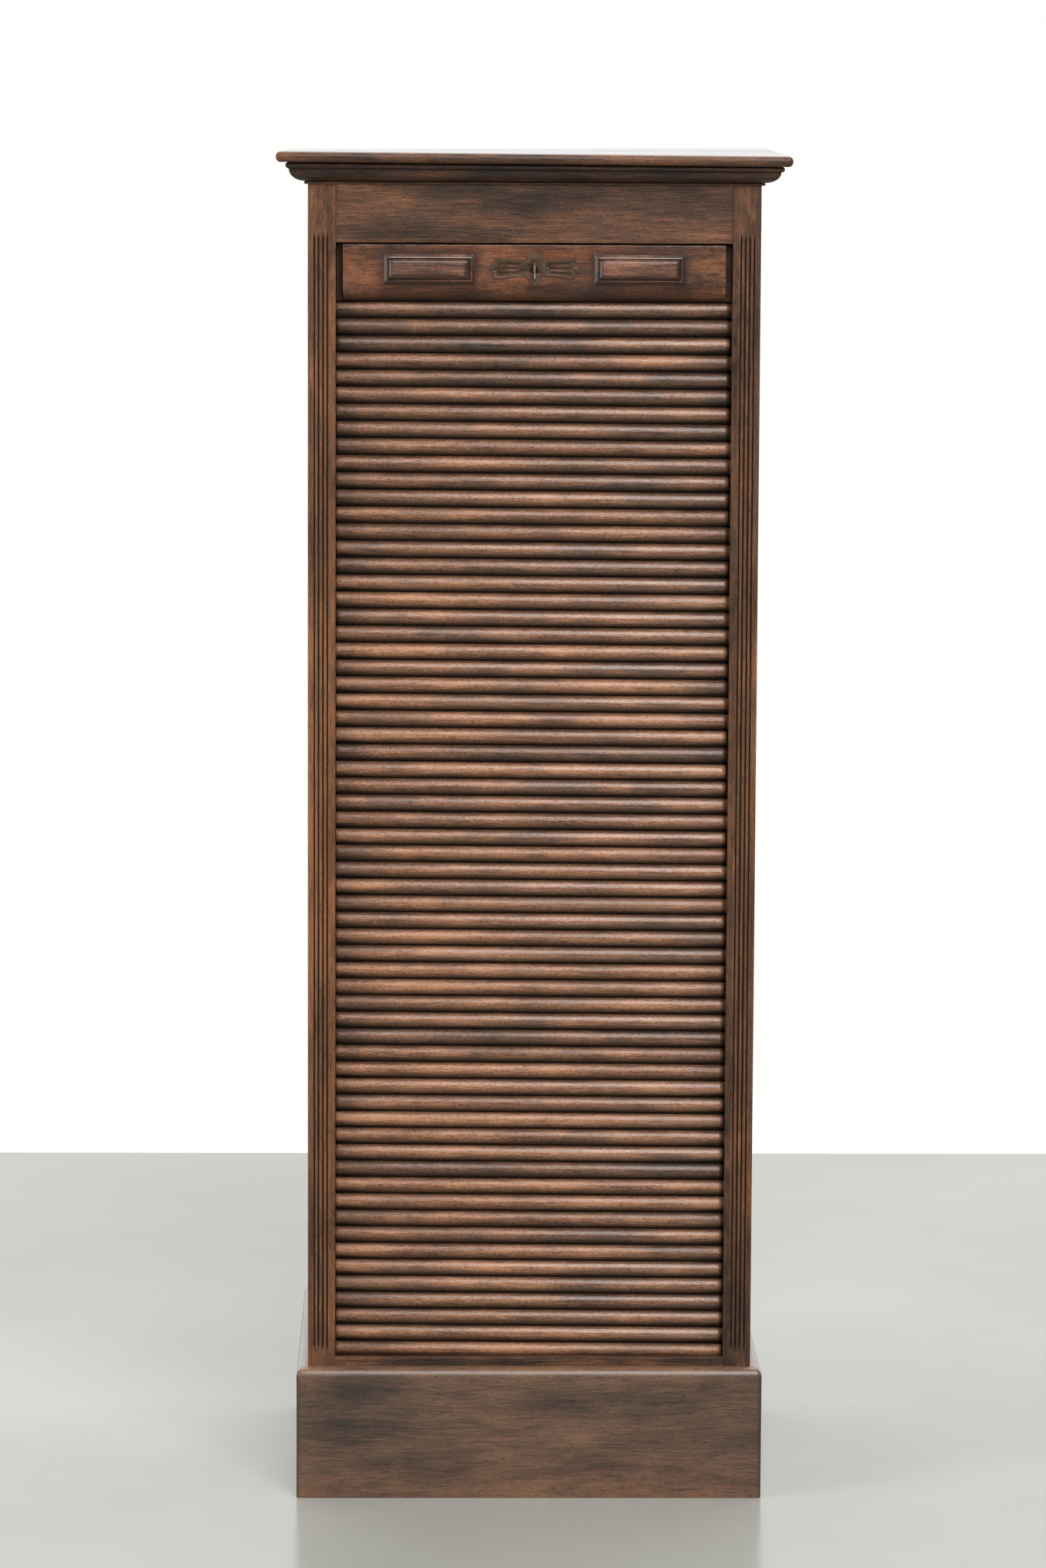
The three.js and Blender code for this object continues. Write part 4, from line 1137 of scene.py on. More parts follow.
def frieze_rail():
    box = limits("frieze_rail")
    left, right = box[0]
    plain = board_note(box, (0, 2, 1), SEEDS["frieze_rail"], FRIEZE_WEAR)

    def note(point):
        seam = ebbing(min(point.x - left, right - point.x), SEAM_REACH)
        # Painted shade, darker towards the right
        tone = FRIEZE_TONE - FRIEZE_SIDE_SHADE * point.x / right
        return plain(point) | {"tone": tone, "soot": SEAM_SOOT * seam}

    mesh = rail_mesh("frieze_rail", [BOARD_RADIUS, CREASE_RADIUS, CREASE_RADIUS, CREASE_RADIUS], note)
    plate = limits("strike_plate")
    mesh = cut_from(mesh, [cutter(box_rings(plate, LOCK_CLEARANCE)), cutter(box_rings(mortise_box(plate)))])
    add_piece("frieze_rail_oak", mesh, "dark_oak", "case", nodes=["frieze_rail"])


def mortise_box(plate):
    _, (front, back), (low, _) = plate
    middle = (front + back) / 2
    return (
        (-MORTISE_HALF_LENGTH, MORTISE_HALF_LENGTH),
        (middle - MORTISE_HALF_WIDTH, middle + MORTISE_HALF_WIDTH),
        (low, low + MORTISE_DEPTH),
    )


def bottom_rail():
    box = limits("bottom_rail")
    note = board_note(box, (0, 2, 1), SEEDS["bottom_rail"], BOTTOM_RAIL_WEAR, BOTTOM_RAIL_TONE)
    mesh = rail_mesh("bottom_rail", [CREASE_RADIUS, CREASE_RADIUS, CREASE_RADIUS, BOARD_RADIUS], note)
    add_piece("bottom_rail_oak", mesh, "dark_oak", "case", nodes=["bottom_rail"])


def rounded_hollow(share):
    """Depth of a round surface a share of the way from its edge to its crest."""
    return FLUTE_DEPTH * (1 - math.sqrt(max(0.0, 1 - (1 - share) ** 2)))


def flute_depth(x, centre):
    """Depth of the fluting at x: round reeds between grooves, with a lip up to the flat on either side."""
    away = abs(x - centre)
    if away <= REEDS_HALF:
        across_share = ((x - centre + REEDS_HALF) / REED_PITCH) % 1.0
        return rounded_hollow(2 * across_share)
    lip_share = (away - REEDS_HALF) / FLUTE_LIP
    return rounded_hollow(lip_share) if lip_share < 1 else 0.0


def flute_places(centre, low, high):
    """Places across a stile's face, closest together in the grooves."""
    left, right = centre - REEDS_HALF, centre + REEDS_HALF
    lip = [FLUTE_LIP * (1 - math.cos(QUARTER * index / ARC_STEPS)) for index in range(1, ARC_STEPS + 1)]
    crests = [(1 - math.cos(2 * QUARTER * index / FINE_ARC_STEPS)) / 2 for index in range(FINE_ARC_STEPS)]
    places = [left - reach for reach in reversed(lip)]
    places += [left + (reed + share) * REED_PITCH for reed in range(REED_COUNT) for share in crests]
    places += [right] + [right + reach for reach in lip]
    before = between(low + BOARD_RADIUS, places[0], FLAT_PITCH)[:-1]
    return before + places + between(places[-1], high - BOARD_RADIUS, FLAT_PITCH)[1:]


def flute_heights(low, high, start, end):
    """Heights of a stile's rings, closest together where the flutes run out."""
    stops = (low, start, start + FLUTE_RUNOUT, end - FLUTE_RUNOUT, end, high)
    pitches = (STATION_PITCH, RUNOUT_PITCH, STATION_PITCH, RUNOUT_PITCH, STATION_PITCH)
    runs = [between(*run)[:-1] for run in zip(stops, stops[1:], pitches)]
    return [z for run in runs for z in run] + [high]


def stile(label, side):
    node = f"stile_{label}"
    (left, right), (front, back), (low, high) = limits(node)
    centre = (left + right) / 2 + side * FLUTE_SHIFT
    start = limits("bottom_rail")[2][1] + FLUTE_BOTTOM_RISE
    end = limits("frieze_rail")[2][0] + FLUTE_TOP_RISE
    places = flute_places(centre, left, right)
    edge_left = bend((left + BOARD_RADIUS, front + BOARD_RADIUS), BOARD_RADIUS, 2, 3)[:-1]
    edge_right = bend((right - BOARD_RADIUS, front + BOARD_RADIUS), BOARD_RADIUS, -1, 0)[1:]
    shift = grain_shift(SEEDS["stile"] + side)
    rings = []
    for z in flute_heights(low, high, start, end):
        lost = FLUTE_DEPTH * fading(max(min(z - start, end - z), 0.0), FLUTE_RUNOUT)
        face = []
        for x in places:
            marks = Vector((x * TOOL_MARKS[0], side * TOOL_MARKS[1], z * TOOL_MARKS[2]))
            depth = max(0.0, flute_depth(x, centre) - lost)
            face.append((x, front + depth + (HAND_SWAY * noise.noise(marks) if depth else 0.0)))
        ring = [*edge_left, *face, *edge_right, (right, back), (left, back)]
        rings.append([swayed(Vector((x, y, z)), SWAY_SEEDS["stile"] + side, FINE_SWAY) for x, y in ring])

    def note(point):
        fluted = abs(point.x - centre) < REEDS_HALF + FLUTE_LIP
        depth_share = max(0.0, point.y - front) / FLUTE_DEPTH if fluted else 0.0
        near_edge = point.y < front + STILE_EDGE_DEPTH
        edge = fading(min(point.x - left, right - point.x), STILE_EDGE_REACH) if near_edge else 0.0
        inward = side * (centre - point.x) > REEDS_HALF + FLUTE_LIP
        inner = 1.0 if inward and point.y < front + STILE_FACE_DEPTH else 0.0
        reed = fading(depth_share, REED_CREST_SHARE) if fluted else 0.0
        # Painted shade in the flutes, darker the deeper
        darkening = min(1.0, max(0.0, depth_share - FLUTE_UNSHADED) * FLUTE_SHADE)
        # Painted shade on the stile's sides deep in the opening
        flank = STILE_FLANK_SHADE if point.y > front + STILE_FLANK_DEPTH and not fluted else 0.0
        height_share = min(1.0, point.z / high)
        glow = STILE_GLOW_TONE * math.sin(2 * QUARTER * height_share) ** 2
        # Painted shade: the right stile darker towards its foot, the left painted lighter there
        low_tone = STILE_LOW_TONE * side + STILE_INNER_TONE * inner * (side > 0)
        # Rubbed edges and inner margin; the reed crests are rubbed and carry a painted highlight
        wear = STILE_EDGE_WEAR * edge + REED_WEAR_AND_HIGHLIGHT * reed + STILE_FACE_WEAR[side] * inner
        return {
            "grain": grained(point, (2, 0, 1), shift),
            "wear": wear * patchy(point, RUB_SCALES["stile"], shift),
            "soot": max(darkening, flank),
            "tone": STILE_TONE + glow - STILE_SIDE_SHADE * side + STILE_OUTER_TONE * (1 - inner)
                    - low_tone * (1 - height_share),
        }

    mesh = lofted(node, rings, note, ROUND_CREASE)
    add_piece(f"{node}_oak", mesh, "stile_oak", "case", nodes=[node])


# Curtain
def on_path(length, shift, rise):
    """Y and Z of a point of the curtain: so far along its back line, shifted along it and risen off it."""
    if length < FRONT_RUN:
        return BACK_LINE - rise, CURTAIN_TOP - length - shift
    turn = min((length - FRONT_RUN) / BEND_RADIUS, QUARTER)
    beyond = max(0.0, length - FRONT_RUN - BEND_LENGTH) + shift
    reach = BEND_RADIUS + rise
    y = BACK_LINE + BEND_RADIUS - reach * math.cos(turn) + beyond * math.sin(turn)
    z = BEND_HEIGHT - reach * math.sin(turn) - beyond * math.cos(turn)
    return y, z


def skew_of(index):
    """The slats hang a little askew, but the topmost and the hidden ones lie square."""
    low_share = max(0.0, (FRONT_SLATS + SKEW_SLATS - index) / SKEW_SLATS)
    return CURTAIN_SKEW * min(1.0, (index + 1) / SKEW_SLATS, low_share)


def settled(index):
    """How far a slat has sunk below its even place: the gaps have opened most half way down."""
    drop = SLAT_DROP * min(1.0, (index + 1) / SLAT_DROP_SLATS)
    return drop + SLAT_SAG * max(0.0, math.sin(2 * QUARTER * index / SLAT_SAG_SLATS))


def slat_outline(half, rise):
    radius = (half * half + rise * rise) / (2 * rise)
    sweep = math.asin(half / radius)
    centre = (0.0, SLAT_SHOULDER + rise - radius)
    crown = arc(centre, (radius, radius), QUARTER + sweep, QUARTER - sweep, 2 * FINE_ARC_STEPS)
    return [(-half, 0.0), *crown, (half, 0.0)]


def tongue_outline(count):
    """A tongue's outline with as many points as the slat's."""
    places = between(-TONGUE_HALF, TONGUE_HALF, 2 * TONGUE_HALF / (count - 3))
    crown = [(place, TONGUE_HIGH) for place in places]
    return [(-TONGUE_HALF, TONGUE_LOW), *crown, (TONGUE_HALF, TONGUE_LOW)]


def tip_share(gap, tip, least_share):
    """How much of the full section is left so far from the slat's end."""
    if gap >= tip:
        return 1.0
    return least_share + (1 - least_share) * math.sqrt(1 - (1 - gap / tip) ** 2)


def slat_noise(kind, x, index):
    along, each, start = SLAT_NOISES[kind]
    return noise.noise(Vector((x * along, index * each, start)))


def slat_ring(outline, index, x, share):
    """The slat's section at x, of which only a share stands out over the shoulders."""
    flat = 0.5 + 0.5 * share
    bow = HAND_SWAY * slat_noise("bow", x, index)
    crown_share = share * (1 + SLAT_SWELL * slat_noise("swell", x, index))
    ring = []
    for across, height in outline:
        crown = max(0.0, height - SLAT_SHOULDER)
        ring.append((x, across * flat + bow, (height - crown) * flat + crown * crown_share))
    return ring


def add_slat(shell, index):
    source = random.Random(SEEDS["slat"] + index)
    half = SLAT_HEIGHT / 2
    rise = SLAT_RISE + source.uniform(*SLAT_RISE_SPREAD)
    tone = source.gauss(SLAT_TONE, SLAT_TONE_SPREAD)
    tone -= SLAT_DARK_TONE if source.random() < SLAT_DARK_SHARE else 0.0
    tone += SLAT_LOW_TONE * index / FRONT_SLATS - SLAT_TOP_TONE * fading(index, SLAT_TOP_SLATS)
    gloss = source.uniform(*SLAT_GLOSS_SPREAD)
    lift = source.uniform(-SLAT_LIFT_SPREAD, SLAT_LIFT_SPREAD)
    shift = grain_shift(SEEDS["slat_grain"] + index)
    middle = SLAT_GAP + index * SLAT_PITCH + half + settled(index)
    skew = skew_of(index)
    clearance = SLAT_RIGHT_CLEARANCE * (1 - SLAT_NEARING_SHARE * min(1.0, index / FRONT_SLATS))
    left = -OPENING_HALF + SLAT_LEFT_CLEARANCE + source.uniform(-SLAT_END_SPREAD, SLAT_END_SPREAD)
    right = OPENING_HALF - clearance + source.uniform(-SLAT_END_SPREAD, SLAT_END_SPREAD)
    outline = slat_outline(half, rise)
    tongue = tongue_outline(len(outline))
    gaps = [gap * MM for gap in SLAT_END_GAPS]
    stations = [left + gap for gap in gaps]
    stations += between(left + gaps[-1], right - gaps[-1], STATION_PITCH)[1:-1]
    stations += [right - gap for gap in reversed(gaps)]
    rings = [[(x, *corner) for corner in tongue] for x in (-TONGUE_REACH, left)]
    for x in stations:
        share = min(tip_share(x - left, *SLAT_LEFT_TIP), tip_share(right - x, *SLAT_RIGHT_TIP))
        rings.append(slat_ring(outline, index, x, share))
    rings += [[(x, *corner) for corner in tongue] for x in (right, TONGUE_REACH)]

    def placed(x, across, height):
        y, z = on_path(middle, across, height)
        return Vector((x, y, z - skew * x + lift))

    def note(spot):
        x, across, height = spot
        crest = within((height - SLAT_SHOULDER) / rise)
        # Painted shade towards the slat's upper and lower edges
        if across < 0:
            unshaded, fully_shaded, power = SLAT_UNSHADED_ABOVE, 1.0, SHADE_POWER_ABOVE
        else:
            unshaded, fully_shaded, power = SLAT_UNSHADED_BELOW, SLAT_SHADED_BELOW, SHADE_POWER_BELOW
        away = max(0.0, min(1.0, abs(across) / half / fully_shaded) - unshaded) / (1 - unshaded)
        # Soiling and painted shade near the ends, and painted shade all over the tongues and end faces
        gap = max(min(x - left, right - x), 0.0)
        end, sheen = ebbing(gap, SLAT_END_DIRT_AND_SHADE), ebbing(gap, SLAT_END_SHEEN)
        end_darkening = SLAT_END_SOOT_AND_SHADE[0] + SLAT_END_SOOT_AND_SHADE[1] * max(0.0, across / half)
        soot = min(1.0, away ** power + end * (1 - sheen) * end_darkening) if left <= x <= right else 1.0
        level, slope, spread = SLAT_SHINE
        shine = level + slope * x / OPENING_HALF + spread * slat_noise("shine", x, index)
        rub = 0.5 + 0.5 * slat_noise("rub", x, index)
        return {
            "grain": Vector(spot) + shift,
            "wear": SLAT_WEAR * crest * rub * (1 - end),
            "soot": soot,
            # A painted highlight lightens a band above the middle
            "tone": tone + SLAT_HIGHLIGHT_TONE * peaking(across + SLAT_HIGHLIGHT_RISE, SLAT_HIGHLIGHT_RISE),
            "polish": max(gloss * within(shine), sheen) * (1 - soot),
        }

    shell.loft(rings, note, place=placed)


def close_up(piece):
    """Gives a piece of the curtain a mesh of its own."""
    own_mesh(piece)


def curtain_section(index):
    number = f"{index + 1:02d}"
    shell = Shell(f"slats_{number}")
    for slat in range(index * SLATS_PER_SECTION, (index + 1) * SLATS_PER_SECTION):
        add_slat(shell, slat)
    nodes = [f"tambour_section_{number}"]
    piece = add_piece(f"curtain_slats_{number}", shell.mesh(ROUND_CREASE), "slat_oak", "case", nodes=nodes)
    if index < SECTION_COUNT - 1:
        close_up(piece)
    return piece


def curtain_canvas(slats):
    """One strip of canvas, glued to the backs of all the slats."""
    length = SECTION_COUNT * SLATS_PER_SECTION * SLAT_PITCH
    half = OPENING_HALF - CANVAS_MARGIN
    rings = []
    for place in between(SLAT_GAP, SLAT_GAP + length, CANVAS_PITCH):
        back, front = on_path(place, 0.0, -CANVAS_THICKNESS), on_path(place, 0.0, 0.0)
        rings.append([(-half, *front), (half, *front), (half, *back), (-half, *back)])

    def note(point):
        return {"grain": Vector((point.x, point.z, point.y))}

    canvas = add_piece("curtain_canvas", lofted("canvas", rings, note), "canvas", "case")
    close_up(canvas)


# Lead rail
def lead_rail_outline(front, back, low, high):
    """Seen from the side: flat, with a rounded upper edge and a large round below."""
    radii = (RAIL_ROUND_DEPTH, RAIL_ROUND_HEIGHT)
    under = arc((front + radii[0], low + radii[1]), radii, 2 * QUARTER, 3 * QUARTER, FINE_ARC_STEPS)
    top = bend((front + RAIL_EDGE_RADIUS, high - RAIL_EDGE_RADIUS), RAIL_EDGE_RADIUS, 1, 2)
    face = between(high - RAIL_EDGE_RADIUS - GUARD, low + RAIL_ROUND_HEIGHT + GUARD, RAIL_PITCH)
    return [
        (back, low), (back, high), (front + RAIL_EDGE_RADIUS + GUARD, high),
        *top, *((front, z) for z in face), *under,
    ]


def lead_rail_note(end, front, low, high):
    """Rubbed bare in patches, with painted shadow round the pads and the plate, and painted shade below and
    behind.
    """
    shift = grain_shift(SEEDS["lead_rail"])
    pads = [limits(f"handle_pad_{label}") for label, _ in SIDES]
    wing = SLOT_OUTER_PITCH + SLOT_HALF_WIDTH
    wings = (-SLOT_OUTER, SLOT_OUTER), None, (PIN_HEIGHT - wing, PIN_HEIGHT + wing)

    def note(point):
        edge = fading(end - abs(point.x), RAIL_RUB_REACH) + fading(high - point.z, RAIL_RUB_REACH)
        edge = min(edge, 1.0)
        bare = within(0.5 + RAIL_BARE_CONTRAST * noise.noise(point * RAIL_BARE_SCALE + shift))
        middling = 1 - abs(2 * (point.z - low) / (high - low) - 1)
        bare *= 1 - RAIL_MIDDLE_SHARE + RAIL_MIDDLE_SHARE * middling
        # Painted shadow round the pads and the plate's wings
        painted_shadow = max(ebbing(outside(pad, point, PAD_SHADOW_BELOW), PAD_SHADOW_REACH) for pad in pads)
        painted_shadow += PLATE_SHADOW * ebbing(outside(wings, point), PLATE_SHADOW_REACH)
        # Painted shade on the lower round and deep behind the face
        under = within(1 - (point.z - low) / RAIL_ROUND_HEIGHT)
        deep = RAIL_DEEP_SHADE if point.y > front + RAIL_DEEP else 0.0
        edge_wear = RAIL_EDGE_WEAR * edge * patchy(point, RUB_SCALES["lead_rail"], shift)
        return {
            "grain": grained(point, (0, 2, 1), shift),
            "soot": min(1.0, max(RAIL_UNDER_SHADE * under ** RAIL_UNDER_POWER, deep) + RAIL_PAINTED_SHADOW * painted_shadow),
            "tone": RAIL_TONE,
            "polish": edge * (1 - deep),
            "wear": edge_wear + RAIL_BARE_WEAR * bare * max(0.0, 1 - painted_shadow),
        }

    return note


def keyhole_mesh(front, back):
    half = KEYHOLE_SLOT / 2
    turn = math.asin(half / KEYHOLE_RADIUS) / QUARTER
    outline = bend((0.0, KEY_HEIGHT), KEYHOLE_RADIUS, 1 + turn, 5 - turn, ROUND_STEPS // 2)
    outline += [(half, KEY_HEIGHT + KEYHOLE_RISE), (-half, KEY_HEIGHT + KEYHOLE_RISE)]
    return cutter(through(outline, front, back))


def lead_rail():
    """The flat board, with the lock's pocket and the keyhole cut into it."""
    _, (front, back), (low, high) = limits("lead_rail")
    end = OPENING_HALF - RAIL_SHORT_OF_OPENING
    note = lead_rail_note(end, front, low, high)
    outline = lead_rail_outline(front, back, low, high)
    rings = bar_rings(outline, -end, end, RAIL_EDGE_RADIUS, SWAY_SEEDS["lead_rail"], RAIL_PITCH)
    lock_x, (lock_front, _), (lock_low, _) = limits("lock_case")
    pocket = (lock_x, (lock_front, back + POCKET_OVERRUN), (lock_low, high + POCKET_OVERRUN))
    keyhole = keyhole_mesh(front - KEYHOLE_OVERRUN, lock_front)
    cutters = [cutter(box_rings(pocket, LOCK_CLEARANCE)), keyhole]
    mesh = cut_from(lofted("lead_rail", rings, note), cutters)
    mesh.set_sharp_from_angle(angle=CREASE)
    add_piece("lead_rail_oak", mesh, "worn_oak", "door", nodes=["lead_rail"])
    lead_rail_runners(end, front + RAIL_SHOULDER_DEPTH, back, (low, high), note)


def lead_rail_runners(end, near, back, heights, note):
    """The board's stepped ends, which run in the side boards' grooves."""
    far, step_y = back - RUNNER_FAR, back - RUNNER_NEAR
    shoulder = OPENING_HALF - RAIL_CLEARANCE
    shell = Shell("lead_rail_runners")
    for _, side in SIDES:
        outline = [(end, far), (end, near), (shoulder, near), (shoulder, step_y), (TONGUE_REACH, step_y),
                   (TONGUE_REACH, far)]
        shell.loft([[(side * x, y, z) for x, y in outline] for z in heights], note)
    add_piece("lead_rail_runners", shell.mesh(), "worn_oak", "door")


# Handle pads
def pad_profile(thick):
    """Distances in from the pad's edge and rises off the rail: a bevelled rim, a groove and an ovolo."""
    shares = [index / ARC_STEPS for index in range(ARC_STEPS + 1)]
    bevel, climb = PAD_RIM - PAD_RIM_ROUND, PAD_RIM_RISE - PAD_EDGE
    rim = [(bevel * share, PAD_EDGE + climb * share) for share in shares]
    ovolo = arc((PAD_FIELD, PAD_FLOOR), (PAD_OVOLO, thick - PAD_FLOOR), 2 * QUARTER, QUARTER, FINE_ARC_STEPS)
    return [
        (0.0, 0.0), *rim, (PAD_RIM, PAD_RIM_RISE), (PAD_RIM + PAD_GROOVE / 2, PAD_FLOOR),
        *ovolo, (PAD_FIELD + GUARD, thick),
    ]


def even_side(start, end, count):
    """Evenly spaced points from start up to, but without, end."""
    return [tuple(Vector(start).lerp(Vector(end), index / count)) for index in range(count)]


def pad_ring(box, inset):
    (left, right), _, (low, high) = box
    left, right, low, high = left + inset, right - inset, low + inset, high - inset
    corners = [(left, low), (right, low), (right, high), (left, high)]
    counts = (PAD_ACROSS, PAD_UPRIGHT, PAD_ACROSS, PAD_UPRIGHT)
    ends = corners[1:] + corners[:1]
    return [point for edge in zip(corners, ends, counts) for point in even_side(*edge)]


def handle_pad(label, side):
    node = f"handle_pad_{label}"
    box = limits(node)
    (left, right), (front, back), (low, high) = box
    shift = grain_shift(SEEDS["handle_pad"] + side)
    sway_seed = SWAY_SEEDS["handle_pad"] + side
    glint_corner = ((right, right), None, (high, high))
    rings = [
        [swayed(Vector((x, back - rise, z)), sway_seed, FINE_SWAY) for x, z in pad_ring(box, inset)]
        for inset, rise in pad_profile(back - front)
    ]

    def note(point):
        ends = min(point.x - left, right - point.x)
        inset = min(ends, point.z - low, high - point.z)
        rise = back - point.y
        # Painted shade in the groove, at the foot and on the shaded right and lower sides; the end grain at
        # left and right is darker
        groove = fading(abs(inset - PAD_RIM - PAD_GROOVE), 2 * PAD_GROOVE) if rise < PAD_RIM_RISE else 0.0
        foot = PAD_FOOT_SHADE if rise < PAD_FOOT else 0.0
        border = ends < PAD_FIELD
        shaded = min(right - point.x, point.z - low) < min(point.x - left, high - point.z, PAD_FIELD)
        flank = point.x - left <= min(point.z - low, high - point.z)
        facing = (inset < PAD_RIM) != flank
        crest = peaking(inset - PAD_RIM + PAD_RIM_ROUND, PAD_RIM_ROUND)
        rim_wear = PAD_RIM_WEAR if inset < PAD_RIM or rise > PAD_FLOOR else 0.0
        hidden = PAD_SHADED_SOOT if shaded else PAD_BORDER_SOOT if border else 0.0
        polish = PAD_SHADED_POLISH if shaded else PAD_FACING_POLISH if facing else PAD_POLISH
        return {
            "grain": grained(point, (0, 2, 1), shift),
            "wear": patchy(point, RUB_SCALES["handle_pad"], shift) * (rim_wear + PAD_CREST_WEAR * crest),
            "soot": max(PAD_GROOVE_SHADE * groove, foot, hidden * (1 - crest)),
            "tone": PAD_BORDER_TONE if border else PAD_FIELD_TONE,
            "polish": max(polish, ebbing(outside(glint_corner, point), PAD_GLINT_REACH)),
        }

    mesh = lofted(node, rings, note, PAD_CREASE)
    add_piece(f"{node}_oak", mesh, "pad_oak", "door", nodes=[node])


# Escutcheon and key
def escutcheon_outline():
    head = arc((0.0, HEAD_RISE), (HEAD_RADIUS, HEAD_RADIUS), QUARTER, HEAD_END, FINE_ARC_STEPS)[1:]
    lobe = arc((LOBE_REACH, 0.0), (LOBE_RADIUS, LOBE_RADIUS), LOBE_OPENING, -LOBE_OPENING, 2 * FINE_ARC_STEPS)
    side, underside = (
        [(x * MM, z * MM) for x, z in points] for points in (ESCUTCHEON_SIDE, ESCUTCHEON_UNDERSIDE)
    )
    half = [*head, *side, *lobe, *underside]
    other = [(-x, z) for x, z in reversed(half)]
    whole = [(0.0, HEAD_RISE + HEAD_RADIUS), *half, (0.0, -ESCUTCHEON_TAIL), *other]
    return [(x, PIN_HEIGHT + z) for x, z in whole]


def slot_outline(side, row):
    inner = (side * SLOT_INNER, PIN_HEIGHT + row * SLOT_INNER_PITCH)
    outer = (side * SLOT_OUTER, PIN_HEIGHT + row * SLOT_OUTER_PITCH)
    return [
        (inner[0], inner[1] - SLOT_HALF_WIDTH),
        (outer[0], outer[1] - SLOT_HALF_WIDTH),
        (outer[0], outer[1] + SLOT_HALF_WIDTH),
        (inner[0], inner[1] + SLOT_HALF_WIDTH),
    ]


def escutcheon():
    """Pierced plate: a round head, a blunt tail, and a slotted wing on either side ending in a lobe."""
    _, (front, back), _ = limits("escutcheon")
    outline = escutcheon_outline()
    edge = [(back, 0.0), (front + ESCUTCHEON_EDGE, 0.0), (front, ESCUTCHEON_EDGE)]
    rings = [[(x, y, z) for x, z in drawn_in(outline, inset)] for y, inset in edge]
    depths = (front - SLOT_OVERRUN, back + SLOT_OVERRUN)
    slots = [slot_outline(side, row) for _, side in SIDES for row in (-1, 0, 1)]
    cutters = [keyhole_mesh(*depths), *(cutter(through(slot, *depths)) for slot in slots)]
    mesh = cut_from(lofted("escutcheon", rings, plain_note), cutters)
    add_piece("escutcheon_plate", mesh, "aged_brass", "door", nodes=["escutcheon"])


def key():
    """An oval bow seen edge-on, a neck, a round shank and the bit."""
    _, (front, back), (low, high) = limits("key")
    centre = Vector((0.0, front + BOW_LENGTH / 2, KEY_HEIGHT))
    reach = (BOW_LENGTH / 2 - BOW_RIM / 2, (high - low) / 2 - BOW_RIM / 2)
    section = arc((0.0, 0.0), (BOW_HALF_THICKNESS, BOW_RIM / 2), 0, 4 * QUARTER, ROUND_STEPS // 4)[:-1]
    shell = Shell("key")
    bow = []
    for y, z in bend((0.0, 0.0), 1.0, 0, 4, ROUND_STEPS)[:-1]:
        heart = centre + Vector((0.0, reach[0] * y, reach[1] * z))
        bow.append([heart + Vector((x, rise * y, rise * z)) for x, rise in section])
    shell.loft(bow, plain_note, looped=True)
    start = front + BOW_LENGTH - BOW_RIM / 2
    stations = [
        (start, BOW_HALF_THICKNESS), (start + BOW_RIM / 2, SHANK_RADIUS), (start + BOW_NECK, SHANK_RADIUS),
        (back - BOW_HALF_THICKNESS, SHANK_RADIUS), (back, BOW_HALF_THICKNESS),
    ]
    shank = []
    for y, radius in stations:
        ring = bend((0.0, KEY_HEIGHT), radius, 0, 4, ROUND_STEPS // 2)[:-1]
        shank.append([(x, y, z) for x, z in ring])
    shell.loft(shank, plain_note)
    bit_x = (-BIT_HALF_THICKNESS, BIT_HALF_THICKNESS)
    bit = (bit_x, (back - BIT_WIDTH, back), (KEY_HEIGHT, KEY_HEIGHT + BIT_LENGTH))
    shell.loft(box_rings(bit), plain_note)
    add_piece("key_steel", shell.mesh(), "steel", "key", nodes=["key"])


def dress_plain_nodes():
    for finish, names in PLAIN_NODES.items():
        for name in names:
            node = frame["nodes"][name]
            node.data.materials.clear()
            node.data.materials.append(FINISH[finish])
            soft = node.modifiers.new("soft_edges", "BEVEL")
            soft.width = OAK_BEVEL if "oak" in finish else METAL_BEVEL
            soft.segments = BEVEL_SEGMENTS
            soft.limit_method = "ANGLE"
            soft.angle_limit = BEVEL_ANGLE


# Stage
def add_lamp(name, place, size, watts, target):
    data = bpy.data.lights.new(name, "AREA")
    data.shape = "RECTANGLE"
    data.size, data.size_y = size
    data.energy = watts
    lamp = link(name, data)
    lamp.location = place
    lamp.rotation_euler = (Vector(target) - Vector(place)).to_track_quat("-Z", "Y").to_euler()


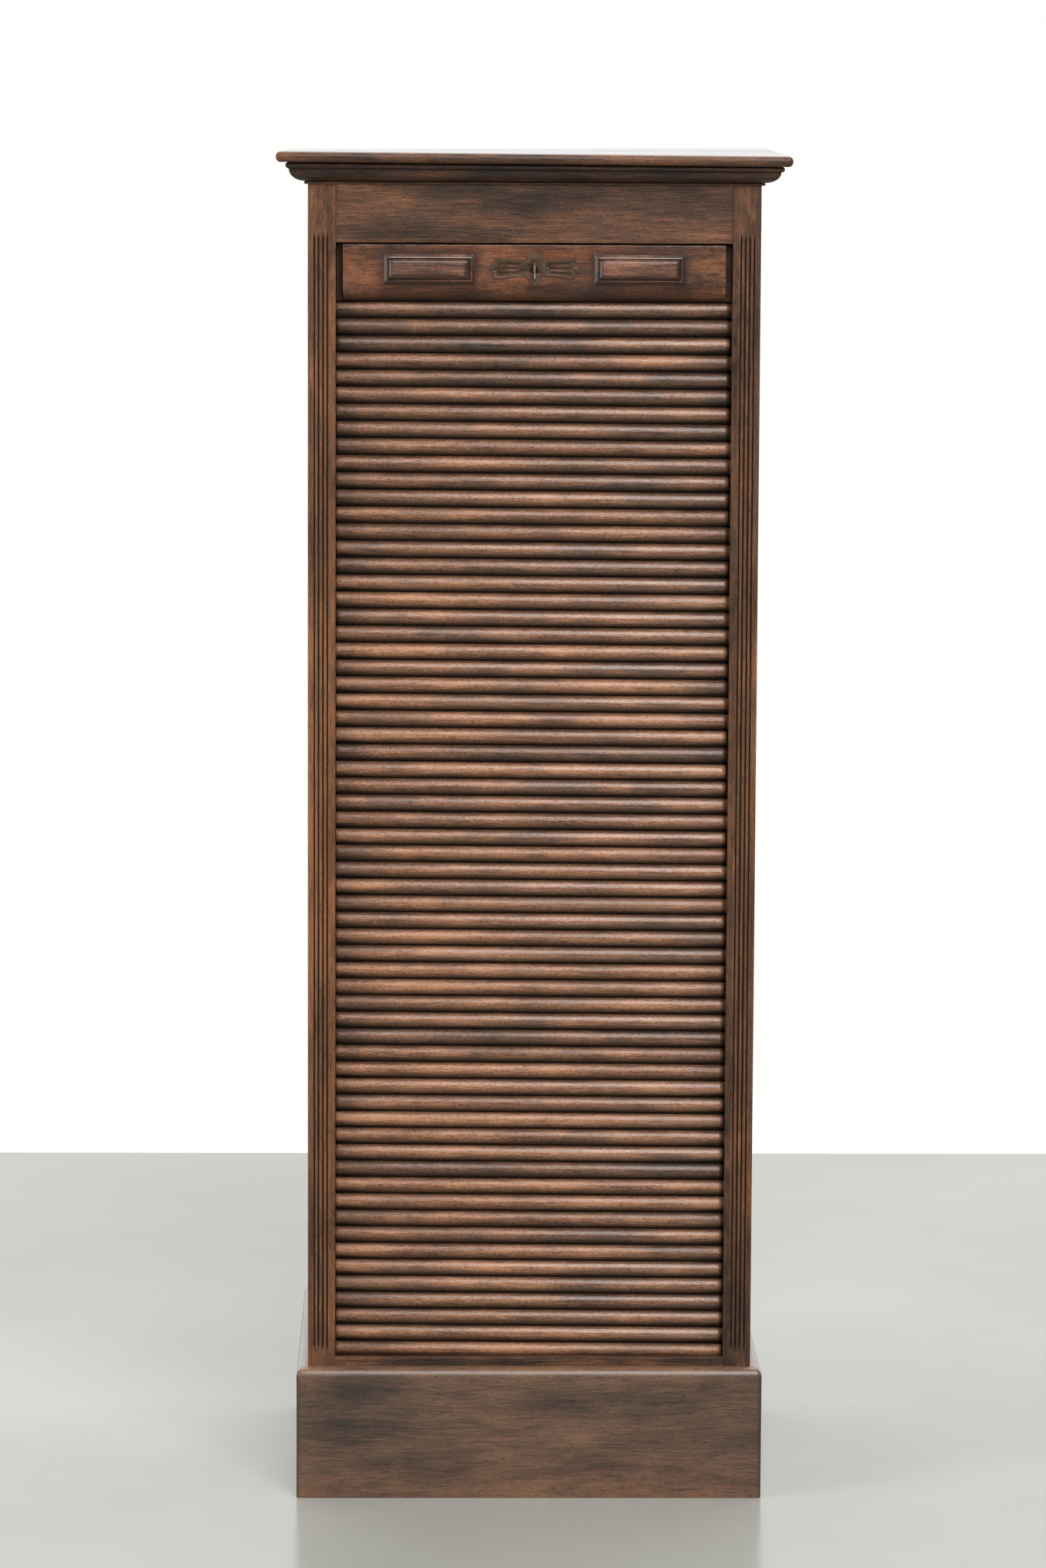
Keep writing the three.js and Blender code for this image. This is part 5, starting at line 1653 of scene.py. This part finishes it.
def add_world():
    """White behind the cabinet, and an even soft light all round."""
    world = bpy.data.worlds.new("studio")
    bpy.context.scene.world = world
    world.use_nodes = True
    tree = world.node_tree
    tree.nodes.clear()
    path = add(tree, "ShaderNodeLightPath").outputs
    place = add(tree, "ShaderNodeTexCoord").outputs["Generated"]
    behind = step(tree, add(tree, "ShaderNodeSeparateXYZ", {0: place}).outputs[1], *BACKDROP_EDGE)
    shown = calc(tree, "MULTIPLY", path["Is Glossy Ray"], behind)
    for ray in ("Is Camera Ray", "Is Transmission Ray"):
        shown = calc(tree, "MAXIMUM", shown, path[ray])
    soft = add(tree, "ShaderNodeBackground", {"Color": (1.0, 1.0, 1.0, 1.0), "Strength": SOFT_STRENGTH})
    white = add(tree, "ShaderNodeBackground", {"Color": BACKDROP_COLOUR, "Strength": 1.0})
    blend = add(tree, "ShaderNodeMixShader", {0: shown, 1: soft.outputs[0], 2: white.outputs[0]})
    add(tree, "ShaderNodeOutputWorld", {"Surface": blend.outputs[0]})


def add_floor():
    floor = link("floor", lofted("floor", box_rings(FLOOR_BOX), plain_note))
    floor.data.materials.append(floor_finish())


def add_camera():
    forward = Vector((
        math.sin(CAMERA_YAW) * math.cos(CAMERA_PITCH),
        math.cos(CAMERA_YAW) * math.cos(CAMERA_PITCH),
        math.sin(CAMERA_PITCH),
    ))
    level = Vector((math.cos(CAMERA_YAW), -math.sin(CAMERA_YAW), 0.0))
    upright = level.cross(forward)
    right = math.cos(CAMERA_ROLL) * level + math.sin(CAMERA_ROLL) * upright
    up = math.cos(CAMERA_ROLL) * upright - math.sin(CAMERA_ROLL) * level
    data = bpy.data.cameras.new("camera")
    data.lens = CAMERA_LENS
    data.sensor_width = CAMERA_SENSOR
    camera = link("camera", data)
    turned = Matrix((right, up, -forward)).transposed().to_4x4()
    turned.translation = CAMERA_PLACE
    camera.matrix_world = turned
    bpy.context.scene.camera = camera


noise.seed_set(NOISE_SEED)
add_camera()
add_world()
add_floor()
for lamp_settings in LAMPS:
    add_lamp(*lamp_settings)
bpy.context.scene.view_settings.view_transform = "Standard"

top_board()
moulding("cornice", cornice_profile, CORNICE_CORNER_RADIUS, "dark_oak", cornice_note, place=under_board)
moulding("plinth", plinth_profile, PLINTH_CORNER_RADIUS, "plinth_oak", plinth_note)
frieze_rail()
bottom_rail()
for stile_label, stile_side in SIDES:
    stile(stile_label, stile_side)
curtain_canvas([curtain_section(index).name for index in range(SECTION_COUNT)])
lead_rail()
for pad_label, pad_side in SIDES:
    handle_pad(pad_label, pad_side)
escutcheon()
key()
dress_plain_nodes()
